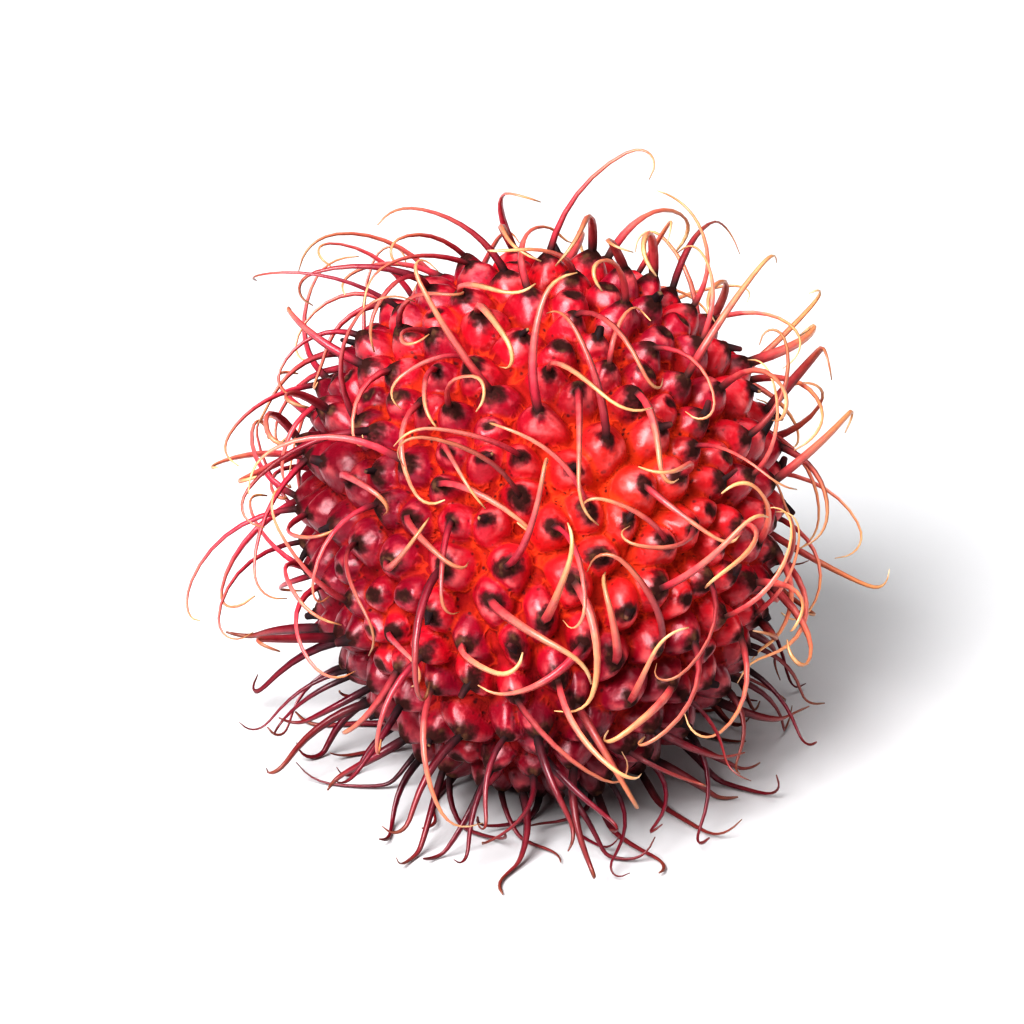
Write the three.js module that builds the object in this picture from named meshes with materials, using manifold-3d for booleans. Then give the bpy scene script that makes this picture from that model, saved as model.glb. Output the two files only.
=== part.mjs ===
// A rambutan: one whole ripe fruit, as picked, lying on a flat surface with its apex to the front and its
// stalk end propped up behind. The leathery rind is covered in tubercles, and each tubercle runs out into
// one soft hooked hair, a spintern. The stalk end holds a small woody scar with the dried second carpel.
// Millimetres, +Z up. The origin is where the lowest tubercle, pressed flat, meets the surface. The apex
// of the fruit points to -Y and down.

import * as THREE from "three";
import { ConvexGeometry } from "three/addons/geometries/ConvexGeometry.js";
import { mergeVertices } from "three/addons/utils/BufferGeometryUtils.js";
import Module from "manifold-3d";

// The body. Its own axis is local +Z, from the apex to the stalk end.
const LENGTH = 48; // over the tubercles
const WIDTH = 40; // over the tubercles
const FULLNESS = 2.04; // exponent of the outline: 2 is an ellipse, more has fuller shoulders
const SHOULDER = 0.12; // how much wider the stalk half is than the apex half, as a share of the radius
const STALK_END_UP = THREE.MathUtils.degToRad(25); // the axis above the level
const APEX_ASIDE = THREE.MathUtils.degToRad(4); // the apex turned towards +X, seen from the front
const PRESSED = 0.4; // how much of the lowest tubercle is flattened by the surface

// Tubercles: each is a low frustum, from the grooves round it to a plateau that carries its hair.
const TUBERCLES = 306;
const TUBERCLE_HEIGHT = 1.3; // above the grooves
const HEIGHT_SPREAD = 0.25; // each is up to this share higher or lower
const PLATEAU = 0.52; // its half width, as a share of the way from the middle to the groove
const PLATEAU_HEIGHT = 0.88; // of its rim, as a share of the tubercle's height
const JITTER = 0.045; // how far a tubercle strays from its even place, in radii
const BARE_ROUND_STALK = 4.5; // radius without tubercles at the stalk end
const FULL_ROUND_STALK = 8; // radius past which they are at full height

// Spinterns, the hairs. A hair leaves its tubercle at a slant, runs in one arc and ends in a hook.
const HAIR_LENGTH = [11, 17.5];
const HAIR_RADIUS = 0.5; // just above the root
const ROOT_FLARE = 1.35; // the root's radius over that
const TIP_SHARE = 0.42; // the radius where the hook begins, over that
const LEAN = [0.2, 0.9]; // from the surface normal at the root, radians
const BEND = [1.1, 2.7]; // turn of the arc towards the rind
const TWIST = 1.45; // largest tilt of the arc's plane to either side
const HOOK = [1.1, 2.9]; // turn of the hook
const HOOK_TWIST = 1; // largest tilt of the hook's plane out of the arc's
const HOOK_FROM = 0.76; // share of the length where the hook begins
const STUBS = 0.2; // share of the hairs that are broken off short
const STEPS = 24; // of the walk along a hair
const STUB_STEPS = 3; // what is left of a broken one
const STATIONS = [6, 13, 19]; // the steps that get a ring of corners, between the root and the tip
const SIDES = 3;

// Hairs of the underside run out over the surface that the fruit lies on.
const LOW = 13; // height of the roots that count as low
const LOW_OUTWARD = 1.1; // weight of the way out against the surface normal at the root
const LOW_FAN = 0.9; // how far such a hair strays from straight out, radians
const LOW_BEND = [0.8, 2.2]; // its turn, down to the surface and sideways
const LOW_TWIST = 1.3; // largest tilt of that turn's plane
const LOW_LENGTH = 0.78; // its length, as a share of the others'
const SETTLED = 0.3; // corners below this height lie on the surface
const CRUSHED = 1.2; // tubercles whose tops are lower than this have lost their hair

// A hair keeps clear of the rind, of the surface and of every hair before it.
const CLEAR = 0.2; // between it and the tops of the tubercles
const FREE_STEPS = 5; // the first steps, where it is still leaving its own tubercle
const APART = 0.7; // between two hairs
const ATTEMPTS = 60; // new draws for a hair that crosses another

// The stalk scar and the dried second carpel beside it.
const SCAR_RADIUS = 2.4;
const CARPEL_RADIUS = 1.6;
const CARPEL_OFFSET = 3.3; // from the scar's axis
const SCAR_DEPTH = 1.3; // of its foot below the rind
const SCAR_SIDES = 14;
const GAP = 0.3; // between the woody foot and its pocket in the rind

const RIND_COLOUR = 0xb01226;
const STALK_COLOUR = 0xb58a4e;

const GOLDEN_ANGLE = Math.PI * (3 - Math.sqrt(5));
const SEED = 29.04;
const UP = new THREE.Vector3(0, 0, 1);

const wasm = await Module();
wasm.setup();

// The seeded draw number `which` of item `index`, from 0 to 1.
function draw(index, which) {
  const wave = Math.sin(index * 127.1 + which * 311.7 + SEED) * 43758.5453;
  return wave - Math.floor(wave);
}

// The same draw, spread between two limits.
function between([low, high], share) {
  return low + (high - low) * share;
}

// The same draw, spread to both sides of zero.
function either(limit, share) {
  return limit * (2 * share - 1);
}

// The point of the body in that direction of its own frame, so far above the grooves.
function bodyPoint(direction, height) {
  const across = Math.hypot(direction.x, direction.y);
  const norm = (Math.abs(direction.z) ** FULLNESS + across ** FULLNESS) ** (1 / FULLNESS);
  const radius = ((WIDTH / 2 - TUBERCLE_HEIGHT + height) * (1 + SHOULDER * direction.z)) / norm;
  const half = (LENGTH / 2 - TUBERCLE_HEIGHT + height) / norm;
  return new THREE.Vector3(direction.x * radius, direction.y * radius, direction.z * half);
}

// How far out a point of the body's own frame lies, as a share of the surface at that height.
function reachOf(point, height) {
  const half = LENGTH / 2 - TUBERCLE_HEIGHT + height;
  const radius = (WIDTH / 2 - TUBERCLE_HEIGHT + height) * (1 + (SHOULDER * point.z) / half);
  const along = Math.abs(point.z / half) ** FULLNESS;
  const across = (Math.hypot(point.x, point.y) / radius) ** FULLNESS;
  return (along + across) ** (1 / FULLNESS);
}

// The outward normal of the body at a point of its own frame.
function bodyNormal(point) {
  const across = Math.hypot(point.x, point.y) + 1e-9;
  const push = across ** (FULLNESS - 2) / (WIDTH / 2) ** FULLNESS;
  const along = (Math.sign(point.z) * Math.abs(point.z) ** (FULLNESS - 1)) / (LENGTH / 2) ** FULLNESS;
  return new THREE.Vector3(point.x * push, point.y * push, along).normalize();
}

// Tubercle `index` in the body's own frame: an even spiral from the stalk end to the apex, a little strayed.
function tubercle(index) {
  const z = 1 - (2 * (index + 0.5)) / TUBERCLES;
  const across = Math.sqrt(1 - z * z);
  const turn = index * GOLDEN_ANGLE;
  const direction = new THREE.Vector3(across * Math.cos(turn), across * Math.sin(turn), z);
  const stray = new THREE.Vector3(draw(index, 1), draw(index, 2), draw(index, 3)).subScalar(0.5);
  direction.addScaledVector(stray, 2 * JITTER).normalize();
  const fromStalk = direction.z > 0 ? Math.hypot(direction.x, direction.y) * (WIDTH / 2) : Infinity;
  const grown = THREE.MathUtils.smoothstep(fromStalk, BARE_ROUND_STALK, FULL_ROUND_STALK);
  const height = TUBERCLE_HEIGHT * (1 + either(HEIGHT_SPREAD, draw(index, 4))) * grown;
  const top = bodyPoint(direction, height);
  return { index, direction, height, grown, top, normal: bodyNormal(top) };
}

// The turn from the body's own frame to the part's frame.
function bodyTurn() {
  const raised = new THREE.Matrix4().makeRotationX(STALK_END_UP - Math.PI / 2);
  return new THREE.Matrix4().makeRotationY(-APEX_ASIDE).multiply(raised);
}

// How a hair starts and turns: its first direction, the axis and turn of its arc, the way that it hooks and
// its size.
function hairPlan(root, normal, key) {
  const low = root.z < LOW && normal.z < 0;
  if (low) {
    const outward = new THREE.Vector3(root.x, root.y, 0).normalize();
    outward.applyAxisAngle(UP, either(LOW_FAN, draw(key, 5)));
    const direction = outward.multiplyScalar(LOW_OUTWARD).add(normal).normalize();
    const arcAxis = UP.clone().cross(direction).normalize();
    arcAxis.applyAxisAngle(direction, either(LOW_TWIST, draw(key, 7)));
    return { direction, arcAxis, bend: between(LOW_BEND, draw(key, 6)), hookSign: -1, size: LOW_LENGTH };
  }
  const spin = 2 * Math.PI * draw(key, 5);
  const east = UP.clone().cross(normal).normalize();
  const heading = east.clone().applyAxisAngle(normal, spin);
  const arcAxis = normal.clone().cross(heading);
  const direction = normal.clone().applyAxisAngle(arcAxis, between(LEAN, draw(key, 6)));
  arcAxis.applyAxisAngle(direction, either(TWIST, draw(key, 7)));
  return { direction, arcAxis, bend: between(BEND, draw(key, 8)), hookSign: 1, size: 1 };
}

// The centreline of a tubercle's hair in the part's frame, as one attempt draws it.
function hairPath(t, attempt, pose, unpose) {
  const key = t.index + attempt * TUBERCLES;
  const point = t.top.clone().applyMatrix4(pose);
  const normal = t.normal.clone().transformDirection(pose);
  const { direction, arcAxis, bend, hookSign, size } = hairPlan(point, normal, key);
  const hook = hookSign * between(HOOK, draw(key, 9));
  const hookTwist = either(HOOK_TWIST, draw(key, 10));
  const stride = (size * between(HAIR_LENGTH, draw(key, 11))) / STEPS;
  const path = [point.clone()];
  for (let step = 1; step <= STEPS; step++) {
    const hooking = step / STEPS > HOOK_FROM;
    if (hooking && (step - 1) / STEPS <= HOOK_FROM) arcAxis.applyAxisAngle(direction, hookTwist);
    direction.applyAxisAngle(arcAxis, hooking ? hook / (STEPS * (1 - HOOK_FROM)) : bend / STEPS);
    point.addScaledVector(direction, stride);
    const radius = hairRadius(step);
    if (step > FREE_STEPS) slideOverBody(point, direction, radius, pose, unpose);
    slideOverSurface(point, direction, radius);
    path.push(point.clone());
  }
  return path;
}

function hairRadius(step) {
  const run = Math.min(1, step / STEPS / HOOK_FROM);
  const flare = step === 0 ? ROOT_FLARE : 1;
  return HAIR_RADIUS * flare * (1 - (1 - TIP_SHARE) * run);
}

// Keeps a hair's point off the rind, and turns its direction along the rind where it would go in.
function slideOverBody(point, direction, radius, pose, unpose) {
  const local = point.clone().applyMatrix4(unpose);
  const reach = reachOf(local, TUBERCLE_HEIGHT * (1 + HEIGHT_SPREAD) + CLEAR + radius);
  if (reach >= 1) return;
  const normal = bodyNormal(local).transformDirection(pose);
  point.copy(local.divideScalar(reach).applyMatrix4(pose));
  direction.addScaledVector(normal, -Math.min(0, direction.dot(normal))).normalize();
}

// Keeps a hair's point on or above the surface that the fruit lies on.
function slideOverSurface(point, direction, radius) {
  if (point.z >= radius) return;
  point.z = radius;
  direction.setZ(Math.max(direction.z, 0)).normalize();
}

// The gap between a path, past its root, and the paths already laid.
function gapTo(path, laid) {
  let gap = Infinity;
  for (const other of laid) {
    if (other[0].distanceTo(path[0]) > 2 * HAIR_LENGTH[1]) continue;
    for (let i = 1; i < path.length; i++) {
      for (let k = 0; k < other.length; k++) {
        gap = Math.min(gap, path[i].distanceTo(other[k]) - hairRadius(i) - hairRadius(k));
      }
    }
  }
  return gap;
}

// The hair paths by tubercle: of each hair's attempts, the first that keeps apart from the hairs before it.
function hairPaths(tubercles, pose, unpose) {
  const paths = new Map();
  for (const t of tubercles) {
    const broken = draw(t.index, 12) < STUBS;
    let best = { gap: -Infinity };
    for (let attempt = 0; attempt < ATTEMPTS && best.gap < APART; attempt++) {
      const whole = hairPath(t, attempt, pose, unpose);
      const path = broken ? whole.slice(0, STUB_STEPS + 1) : whole;
      const gap = gapTo(path, paths.values());
      if (gap > best.gap) best = { gap, path };
    }
    paths.set(t.index, best.path);
  }
  return paths;
}

// A closed three.js geometry as a manifold-3d solid.
function solidOf(geometry) {
  const bare = new THREE.BufferGeometry();
  bare.setAttribute("position", geometry.getAttribute("position"));
  if (geometry.index) bare.setIndex(geometry.index);
  const merged = mergeVertices(bare, 1e-4);
  return new wasm.Manifold(
    new wasm.Mesh({
      numProp: 3,
      vertProperties: new Float32Array(merged.attributes.position.array),
      triVerts: new Uint32Array(merged.index.array),
    }),
  );
}

// A manifold-3d solid as a three.js geometry.
function geometryOf(solid) {
  const mesh = solid.getMesh();
  const geometry = new THREE.BufferGeometry();
  geometry.setAttribute("position", new THREE.BufferAttribute(new Float32Array(mesh.vertProperties), 3));
  geometry.setIndex(new THREE.BufferAttribute(new Uint32Array(mesh.triVerts), 1));
  geometry.computeVertexNormals();
  return geometry;
}

// The grooves meet at a corner for every three neighbouring tubercles. Gives the corners' directions and,
// for each tubercle, its ring of corners, anticlockwise from outside.
function grooveCorners(tubercles) {
  const hull = new ConvexGeometry(tubercles.map((t) => t.direction)).getAttribute("position");
  const keyOf = (v) => [v.x, v.y, v.z].map(Math.fround).join();
  const indexOf = new Map(tubercles.map((t) => [keyOf(t.direction), t.index]));
  const directions = [];
  const leftOf = tubercles.map(() => new Map()); // of each tubercle: neighbour -> [corner, next neighbour]
  for (let i = 0; i < hull.count; i += 3) {
    const points = [0, 1, 2].map((k) => new THREE.Vector3().fromBufferAttribute(hull, i + k));
    const [a, b, c] = points.map((v) => indexOf.get(keyOf(v)));
    const corner = directions.push(points[0].add(points[1]).add(points[2]).normalize()) - 1;
    leftOf[a].set(b, [corner, c]);
    leftOf[b].set(c, [corner, a]);
    leftOf[c].set(a, [corner, b]);
  }
  const rings = leftOf.map((left) => {
    const ring = [];
    let [neighbour] = left.keys();
    while (ring.length < left.size) {
      const [corner, next] = left.get(neighbour);
      ring.push(corner);
      neighbour = next;
    }
    return ring;
  });
  return { directions, rings };
}

// The skin of the fruit as one closed surface, gathered point by point in the part's frame.
class Skin {
  points = [];
  faces = [];

  // Adds a point. What is lower than a settled corner lies on the surface.
  point(at) {
    return this.points.push(at.clone().setZ(at.z < SETTLED ? 0 : at.z)) - 1;
  }

  // Joins two rings of as many points, the second further out.
  band(inner, outer) {
    inner.forEach((from, k) => {
      const next = (k + 1) % inner.length;
      this.faces.push(from, inner[next], outer[next], from, outer[next], outer[k]);
    });
  }

  // Closes a ring to one point.
  fan(ring, point) {
    ring.forEach((from, k) => this.faces.push(from, ring[(k + 1) % ring.length], point));
  }

  // Joins a ring to a hair's first ring of three, inside it.
  collar(ring, root) {
    const nearest = (k) => Math.floor((k * SIDES) / ring.length);
    ring.forEach((from, k) => {
      const to = ring[(k + 1) % ring.length];
      const here = root[nearest(k)];
      const there = root[nearest(k + 1) % SIDES];
      this.faces.push(from, to, here);
      if (there !== here) this.faces.push(to, there, here);
    });
  }

  solid() {
    const geometry = new THREE.BufferGeometry().setFromPoints(this.points);
    return solidOf(geometry.setIndex(this.faces));
  }
}

// A hair from its tubercle's plateau to its tip, or to its broken end.
function growHair(skin, t, path, plateau, pose) {
  const normal = t.normal.clone().transformDirection(pose);
  const toRim = (index) => skin.points[index].clone().sub(path[0]).projectOnPlane(normal).normalize();
  const rimAt = [0, 1, 2].map((k) => plateau[Math.ceil((k * plateau.length) / SIDES)]);
  let ring = rimAt.map((index) => skin.point(path[0].clone().addScaledVector(toRim(index), hairRadius(0))));
  skin.collar(plateau, ring);
  const right = toRim(rimAt[0]);
  const broken = path.length <= STEPS;
  for (const step of broken ? [STUB_STEPS] : STATIONS) {
    const along = path[Math.min(step + 1, path.length - 1)].clone().sub(path[step - 1]).normalize();
    right.projectOnPlane(along).normalize();
    const corners = Array.from({ length: SIDES }, (_, k) => {
      const arm = right.clone().applyAxisAngle(along, (2 * Math.PI * k) / SIDES);
      return skin.point(path[step].clone().addScaledVector(arm, hairRadius(step)));
    });
    skin.band(ring, corners);
    ring = corners;
  }
  if (broken) skin.faces.push(...ring);
  else skin.fan(ring, skin.point(path[STEPS]));
}

// The rind: each tubercle rises from its ring of groove corners to its plateau, and on into its hair.
function rindSolid(tubercles, paths, pose) {
  const { directions, rings } = grooveCorners(tubercles);
  const skin = new Skin();
  directions.forEach((direction) => skin.point(bodyPoint(direction, 0).applyMatrix4(pose)));
  for (const t of tubercles) {
    const plateau = rings[t.index].map((corner) => {
      const rim = t.direction.clone().lerp(directions[corner], PLATEAU).normalize();
      return skin.point(bodyPoint(rim, t.height * PLATEAU_HEIGHT).applyMatrix4(pose));
    });
    skin.band(rings[t.index], plateau);
    const path = paths.get(t.index);
    if (path) growHair(skin, t, path, plateau, pose);
    else skin.fan(plateau, skin.point(t.top.clone().applyMatrix4(pose)));
  }
  return skin.solid();
}

// A closed solid of revolution about the body's own axis.
function turned(profile) {
  const points = profile.map(([radius, z]) => new THREE.Vector2(radius, z));
  return new THREE.LatheGeometry(points, SCAR_SIDES).rotateX(Math.PI / 2);
}

// The pocket that the woody foot sits in, open to the outside, in the body's own frame.
function stalkPocket() {
  const mouth = LENGTH / 2;
  const bottom = mouth - TUBERCLE_HEIGHT - SCAR_DEPTH - GAP;
  const shaft = (radius) =>
    turned([
      [0, bottom],
      [radius + GAP, bottom],
      [radius + GAP, mouth],
      [0, mouth],
    ]);
  return solidOf(shaft(SCAR_RADIUS)).add(solidOf(shaft(CARPEL_RADIUS).translate(CARPEL_OFFSET, 0, 0)));
}

// The woody scar, a raised ring round the stalk's stub, grown together with the dried carpel.
function stalkScar() {
  const rind = LENGTH / 2 - TUBERCLE_HEIGHT;
  const foot = rind - SCAR_DEPTH;
  const scar = turned([
    [0, foot],
    [SCAR_RADIUS, foot],
    [SCAR_RADIUS, rind + 0.4],
    [SCAR_RADIUS * 0.85, rind + 1],
    [SCAR_RADIUS * 0.6, rind + 0.55],
    [SCAR_RADIUS * 0.5, rind + 1.3],
    [0, rind + 1.5],
  ]);
  const carpel = turned([
    [0, foot],
    [CARPEL_RADIUS, foot],
    [CARPEL_RADIUS, rind + 0.5],
    [CARPEL_RADIUS * 0.75, rind + 1.4],
    [0, rind + 1.9],
  ]);
  return solidOf(scar).add(solidOf(carpel.translate(CARPEL_OFFSET, 0, 0)));
}

function namedMesh(name, solid, color, roughness) {
  const material = new THREE.MeshStandardMaterial({ color, roughness, metalness: 0 });
  const mesh = new THREE.Mesh(geometryOf(solid), material);
  mesh.name = name;
  return mesh;
}

const tubercles = Array.from({ length: TUBERCLES }, (_, index) => tubercle(index));

// The pose stands the fruit on its lowest tubercle, whose top is pressed flat at the origin.
const turn = bodyTurn();
const tops = tubercles.map((t) => t.top.clone().applyMatrix4(turn));
const lowest = tops.reduce((a, b) => (b.z < a.z ? b : a));
const pose = new THREE.Matrix4().makeTranslation(-lowest.x, -lowest.y, -lowest.z - PRESSED).multiply(turn);
const unpose = pose.clone().invert();

const hairy = tubercles.filter((t) => t.grown > 0.3 && tops[t.index].z - lowest.z - PRESSED > CRUSHED);
const paths = hairPaths(hairy, pose, unpose);
const rind = rindSolid(tubercles, paths, pose).subtract(stalkPocket().transform(pose.elements));

const fruit = new THREE.Group();
fruit.add(namedMesh("rind", rind, RIND_COLOUR, 0.45));
fruit.add(namedMesh("stalk_scar", stalkScar().transform(pose.elements), STALK_COLOUR, 0.9));

export default fruit;
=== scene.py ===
"""The looks of one whole ripe rambutan, lying on a pale surface.

The fruit is grown by the same rule as its solid: a spiral of tubercles over an oval body, and a soft hooked
hair, a spintern, from the top of most. The rind gets its fine relief here, and each hair its full run of
rings. The fruit's own lengths are in millimetres, and every mesh is put down in metres.
"""

import logging
import math
from dataclasses import dataclass, field
from enum import Enum, IntEnum
from typing import Callable, Sequence, Union

import bpy
import numpy as np
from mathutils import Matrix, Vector, noise

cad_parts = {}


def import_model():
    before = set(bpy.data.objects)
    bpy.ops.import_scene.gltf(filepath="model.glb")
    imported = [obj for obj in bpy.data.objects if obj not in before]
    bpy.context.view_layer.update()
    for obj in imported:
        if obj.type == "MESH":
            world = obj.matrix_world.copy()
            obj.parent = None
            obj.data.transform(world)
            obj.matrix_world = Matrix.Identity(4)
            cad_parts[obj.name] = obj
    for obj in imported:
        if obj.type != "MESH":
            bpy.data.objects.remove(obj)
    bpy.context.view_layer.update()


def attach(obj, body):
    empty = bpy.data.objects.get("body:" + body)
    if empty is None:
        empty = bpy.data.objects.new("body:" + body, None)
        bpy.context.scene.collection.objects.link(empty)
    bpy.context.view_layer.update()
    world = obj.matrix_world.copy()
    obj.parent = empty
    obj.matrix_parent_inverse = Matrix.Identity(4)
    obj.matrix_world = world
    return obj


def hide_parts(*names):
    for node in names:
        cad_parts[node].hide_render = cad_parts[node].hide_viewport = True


LOG = logging.getLogger("rambutan")

MM = 0.001
UP = np.array([0.0, 0.0, 1.0])
GOLDEN_ANGLE = math.pi * (3 - math.sqrt(5))

SEED = 29.04
ITEM_STEP = 127.1
DRAW_STEP = 311.7
DRAW_GAIN = 43758.5453

Colour = tuple[float, float, float]
Place = tuple[float, float, float]
Span = tuple[float, float]
Ramp = tuple[tuple[float, Colour], ...]
Paths = dict[int, np.ndarray]
Socket = bpy.types.NodeSocket
Feed = Union[Socket, float]
Tint = Union[Socket, Colour]


class NodeName(str, Enum):
    """The solids of the frame that the finer pieces stand for."""

    RIND = "rind"
    STALK_SCAR = "stalk_scar"


class Draw(IntEnum):
    """What each seeded draw decides, by the draw's number."""

    STRAY_X = 1
    STRAY_Y = 2
    STRAY_Z = 3
    HEIGHT = 4
    SIDE = 5
    LEAN = 6
    TWIST = 7
    BEND = 8
    HOOK = 9
    HOOK_TWIST = 10
    LENGTH = 11
    BROKEN = 12
    SPOT_SIZE = 21
    SHADE = 22
    WARMTH = 23
    SMALL_HAIRY = 24
    CORE = 25
    WIDTH = 26
    RIPENESS = 27


class Mark(str, Enum):
    """The numbers stored on a piece's points, which its finish reads."""

    RELIEF = "relief"
    SPOT = "spot"
    TONE = "tone"
    ORANGE = "orange"
    DEEP = "deep"
    ALONG = "along"
    SHADE = "shade"
    WARM = "warm"
    CORE = "core"
    FIBRE = "fibre"
    HOLLOW = "hollow"


class Element(str, Enum):
    """What is selected in edit mode."""

    EDGE = "EDGE"
    FACE = "FACE"


def draw(index: np.ndarray | float, which: Draw) -> np.ndarray:
    """Gives a seeded draw of item `index`, from 0 to 1.

    Args:
        index: The item's number, or an array of them.
        which: What the draw decides.

    Returns:
        The draws, in the shape of `index`.
    """
    wave = np.sin(np.asarray(index, float) * ITEM_STEP + which * DRAW_STEP + SEED) * DRAW_GAIN
    return wave - np.floor(wave)


def between(limits: Span, share: np.ndarray) -> np.ndarray:
    """Spreads draws between two limits."""
    return limits[0] + (limits[1] - limits[0]) * share


def either(limit: float, share: np.ndarray) -> np.ndarray:
    """Spreads draws to both sides of zero."""
    return limit * (2 * share - 1)


def smoothstep(values: np.ndarray, low: float, high: float) -> np.ndarray:
    """Rises smoothly from 0 at `low` to 1 at `high`."""
    share = np.clip((values - low) / (high - low), 0, 1)
    return share * share * (3 - 2 * share)


def bell(values: np.ndarray, reach: float) -> np.ndarray:
    """Falls off smoothly from 1 at zero, to both sides."""
    return np.exp(-((values / reach) ** 2))


def unit(vectors: np.ndarray) -> np.ndarray:
    """Scales each row to length 1."""
    return vectors / np.linalg.norm(vectors, axis=-1, keepdims=True)


def rotated(vectors: np.ndarray, axes: np.ndarray, angles: np.ndarray | float) -> np.ndarray:
    """Turns each row about its own axis.

    Args:
        vectors: The rows to turn.
        axes: A unit axis for each row, or one for all.
        angles: An angle for each row, or one for all, in radians.

    Returns:
        The turned rows.
    """
    cos = np.cos(angles)[..., None] if np.ndim(angles) else math.cos(angles)
    sin = np.sin(angles)[..., None] if np.ndim(angles) else math.sin(angles)
    axes = np.broadcast_to(axes, vectors.shape)
    along = np.sum(axes * vectors, axis=-1, keepdims=True)
    return vectors * cos + np.cross(axes, vectors) * sin + axes * along * (1 - cos)


@dataclass(frozen=True)
class Body:
    """The smooth body under the tubercles. Its own axis is +Z, from the apex to the stalk end."""

    length: float = 48.0
    width: float = 40.0
    fullness: float = 2.04
    shoulder: float = 0.12
    stalk_end_up: float = math.radians(25)
    apex_aside: float = math.radians(4)
    relief: float = 1.3
    axis_guard: float = 1e-9

    def point(self, directions: np.ndarray, height: np.ndarray | float) -> np.ndarray:
        """Gives the body's points in those directions.

        Args:
            directions: Unit rows in the body's own frame.
            height: How far above the grooves, for each row or for all.

        Returns:
            The points, in the body's own frame.
        """
        across = np.hypot(directions[..., 0], directions[..., 1])
        along = np.abs(directions[..., 2])
        norm = (along**self.fullness + across**self.fullness) ** (1 / self.fullness)
        wider = 1 + self.shoulder * directions[..., 2]
        radius = (self.width / 2 - self.relief + height) * wider / norm
        half = (self.length / 2 - self.relief + height) / norm
        return directions * np.stack([radius, radius, half], axis=-1)

    def reach(self, points: np.ndarray, height: np.ndarray | float) -> np.ndarray:
        """Gives how far out points lie, as a share of the surface at that height.

        Args:
            points: Rows in the body's own frame.
            height: How far that surface is above the grooves.

        Returns:
            The share for each row, under 1 inside the surface.
        """
        half = self.length / 2 - self.relief + height
        radius = (self.width / 2 - self.relief + height) * (1 + self.shoulder * points[..., 2] / half)
        along = np.abs(points[..., 2] / half) ** self.fullness
        across = (np.hypot(points[..., 0], points[..., 1]) / radius) ** self.fullness
        return (along + across) ** (1 / self.fullness)

    def normal(self, points: np.ndarray) -> np.ndarray:
        """Gives the outward normals at points.

        Args:
            points: Rows in the body's own frame.

        Returns:
            The unit normals, in the same frame.
        """
        across = np.hypot(points[..., 0], points[..., 1]) + self.axis_guard
        push = across ** (self.fullness - 2) / (self.width / 2) ** self.fullness
        rise = np.abs(points[..., 2]) ** (self.fullness - 1) / (self.length / 2) ** self.fullness
        along = np.sign(points[..., 2]) * rise
        return unit(np.stack([points[..., 0] * push, points[..., 1] * push, along], axis=-1))

    def turn(self) -> np.ndarray:
        """Works out how the fruit lies: its stalk end raised, its apex a little aside.

        Returns:
            The rotation from the body's own frame to the part's.
        """
        raised = self.stalk_end_up - math.pi / 2
        cos, sin = math.cos(raised), math.sin(raised)
        about_x = np.array([[1, 0, 0], [0, cos, -sin], [0, sin, cos]])
        cos, sin = math.cos(-self.apex_aside), math.sin(-self.apex_aside)
        about_y = np.array([[cos, 0, sin], [0, 1, 0], [-sin, 0, cos]])
        return about_y @ about_x


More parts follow.
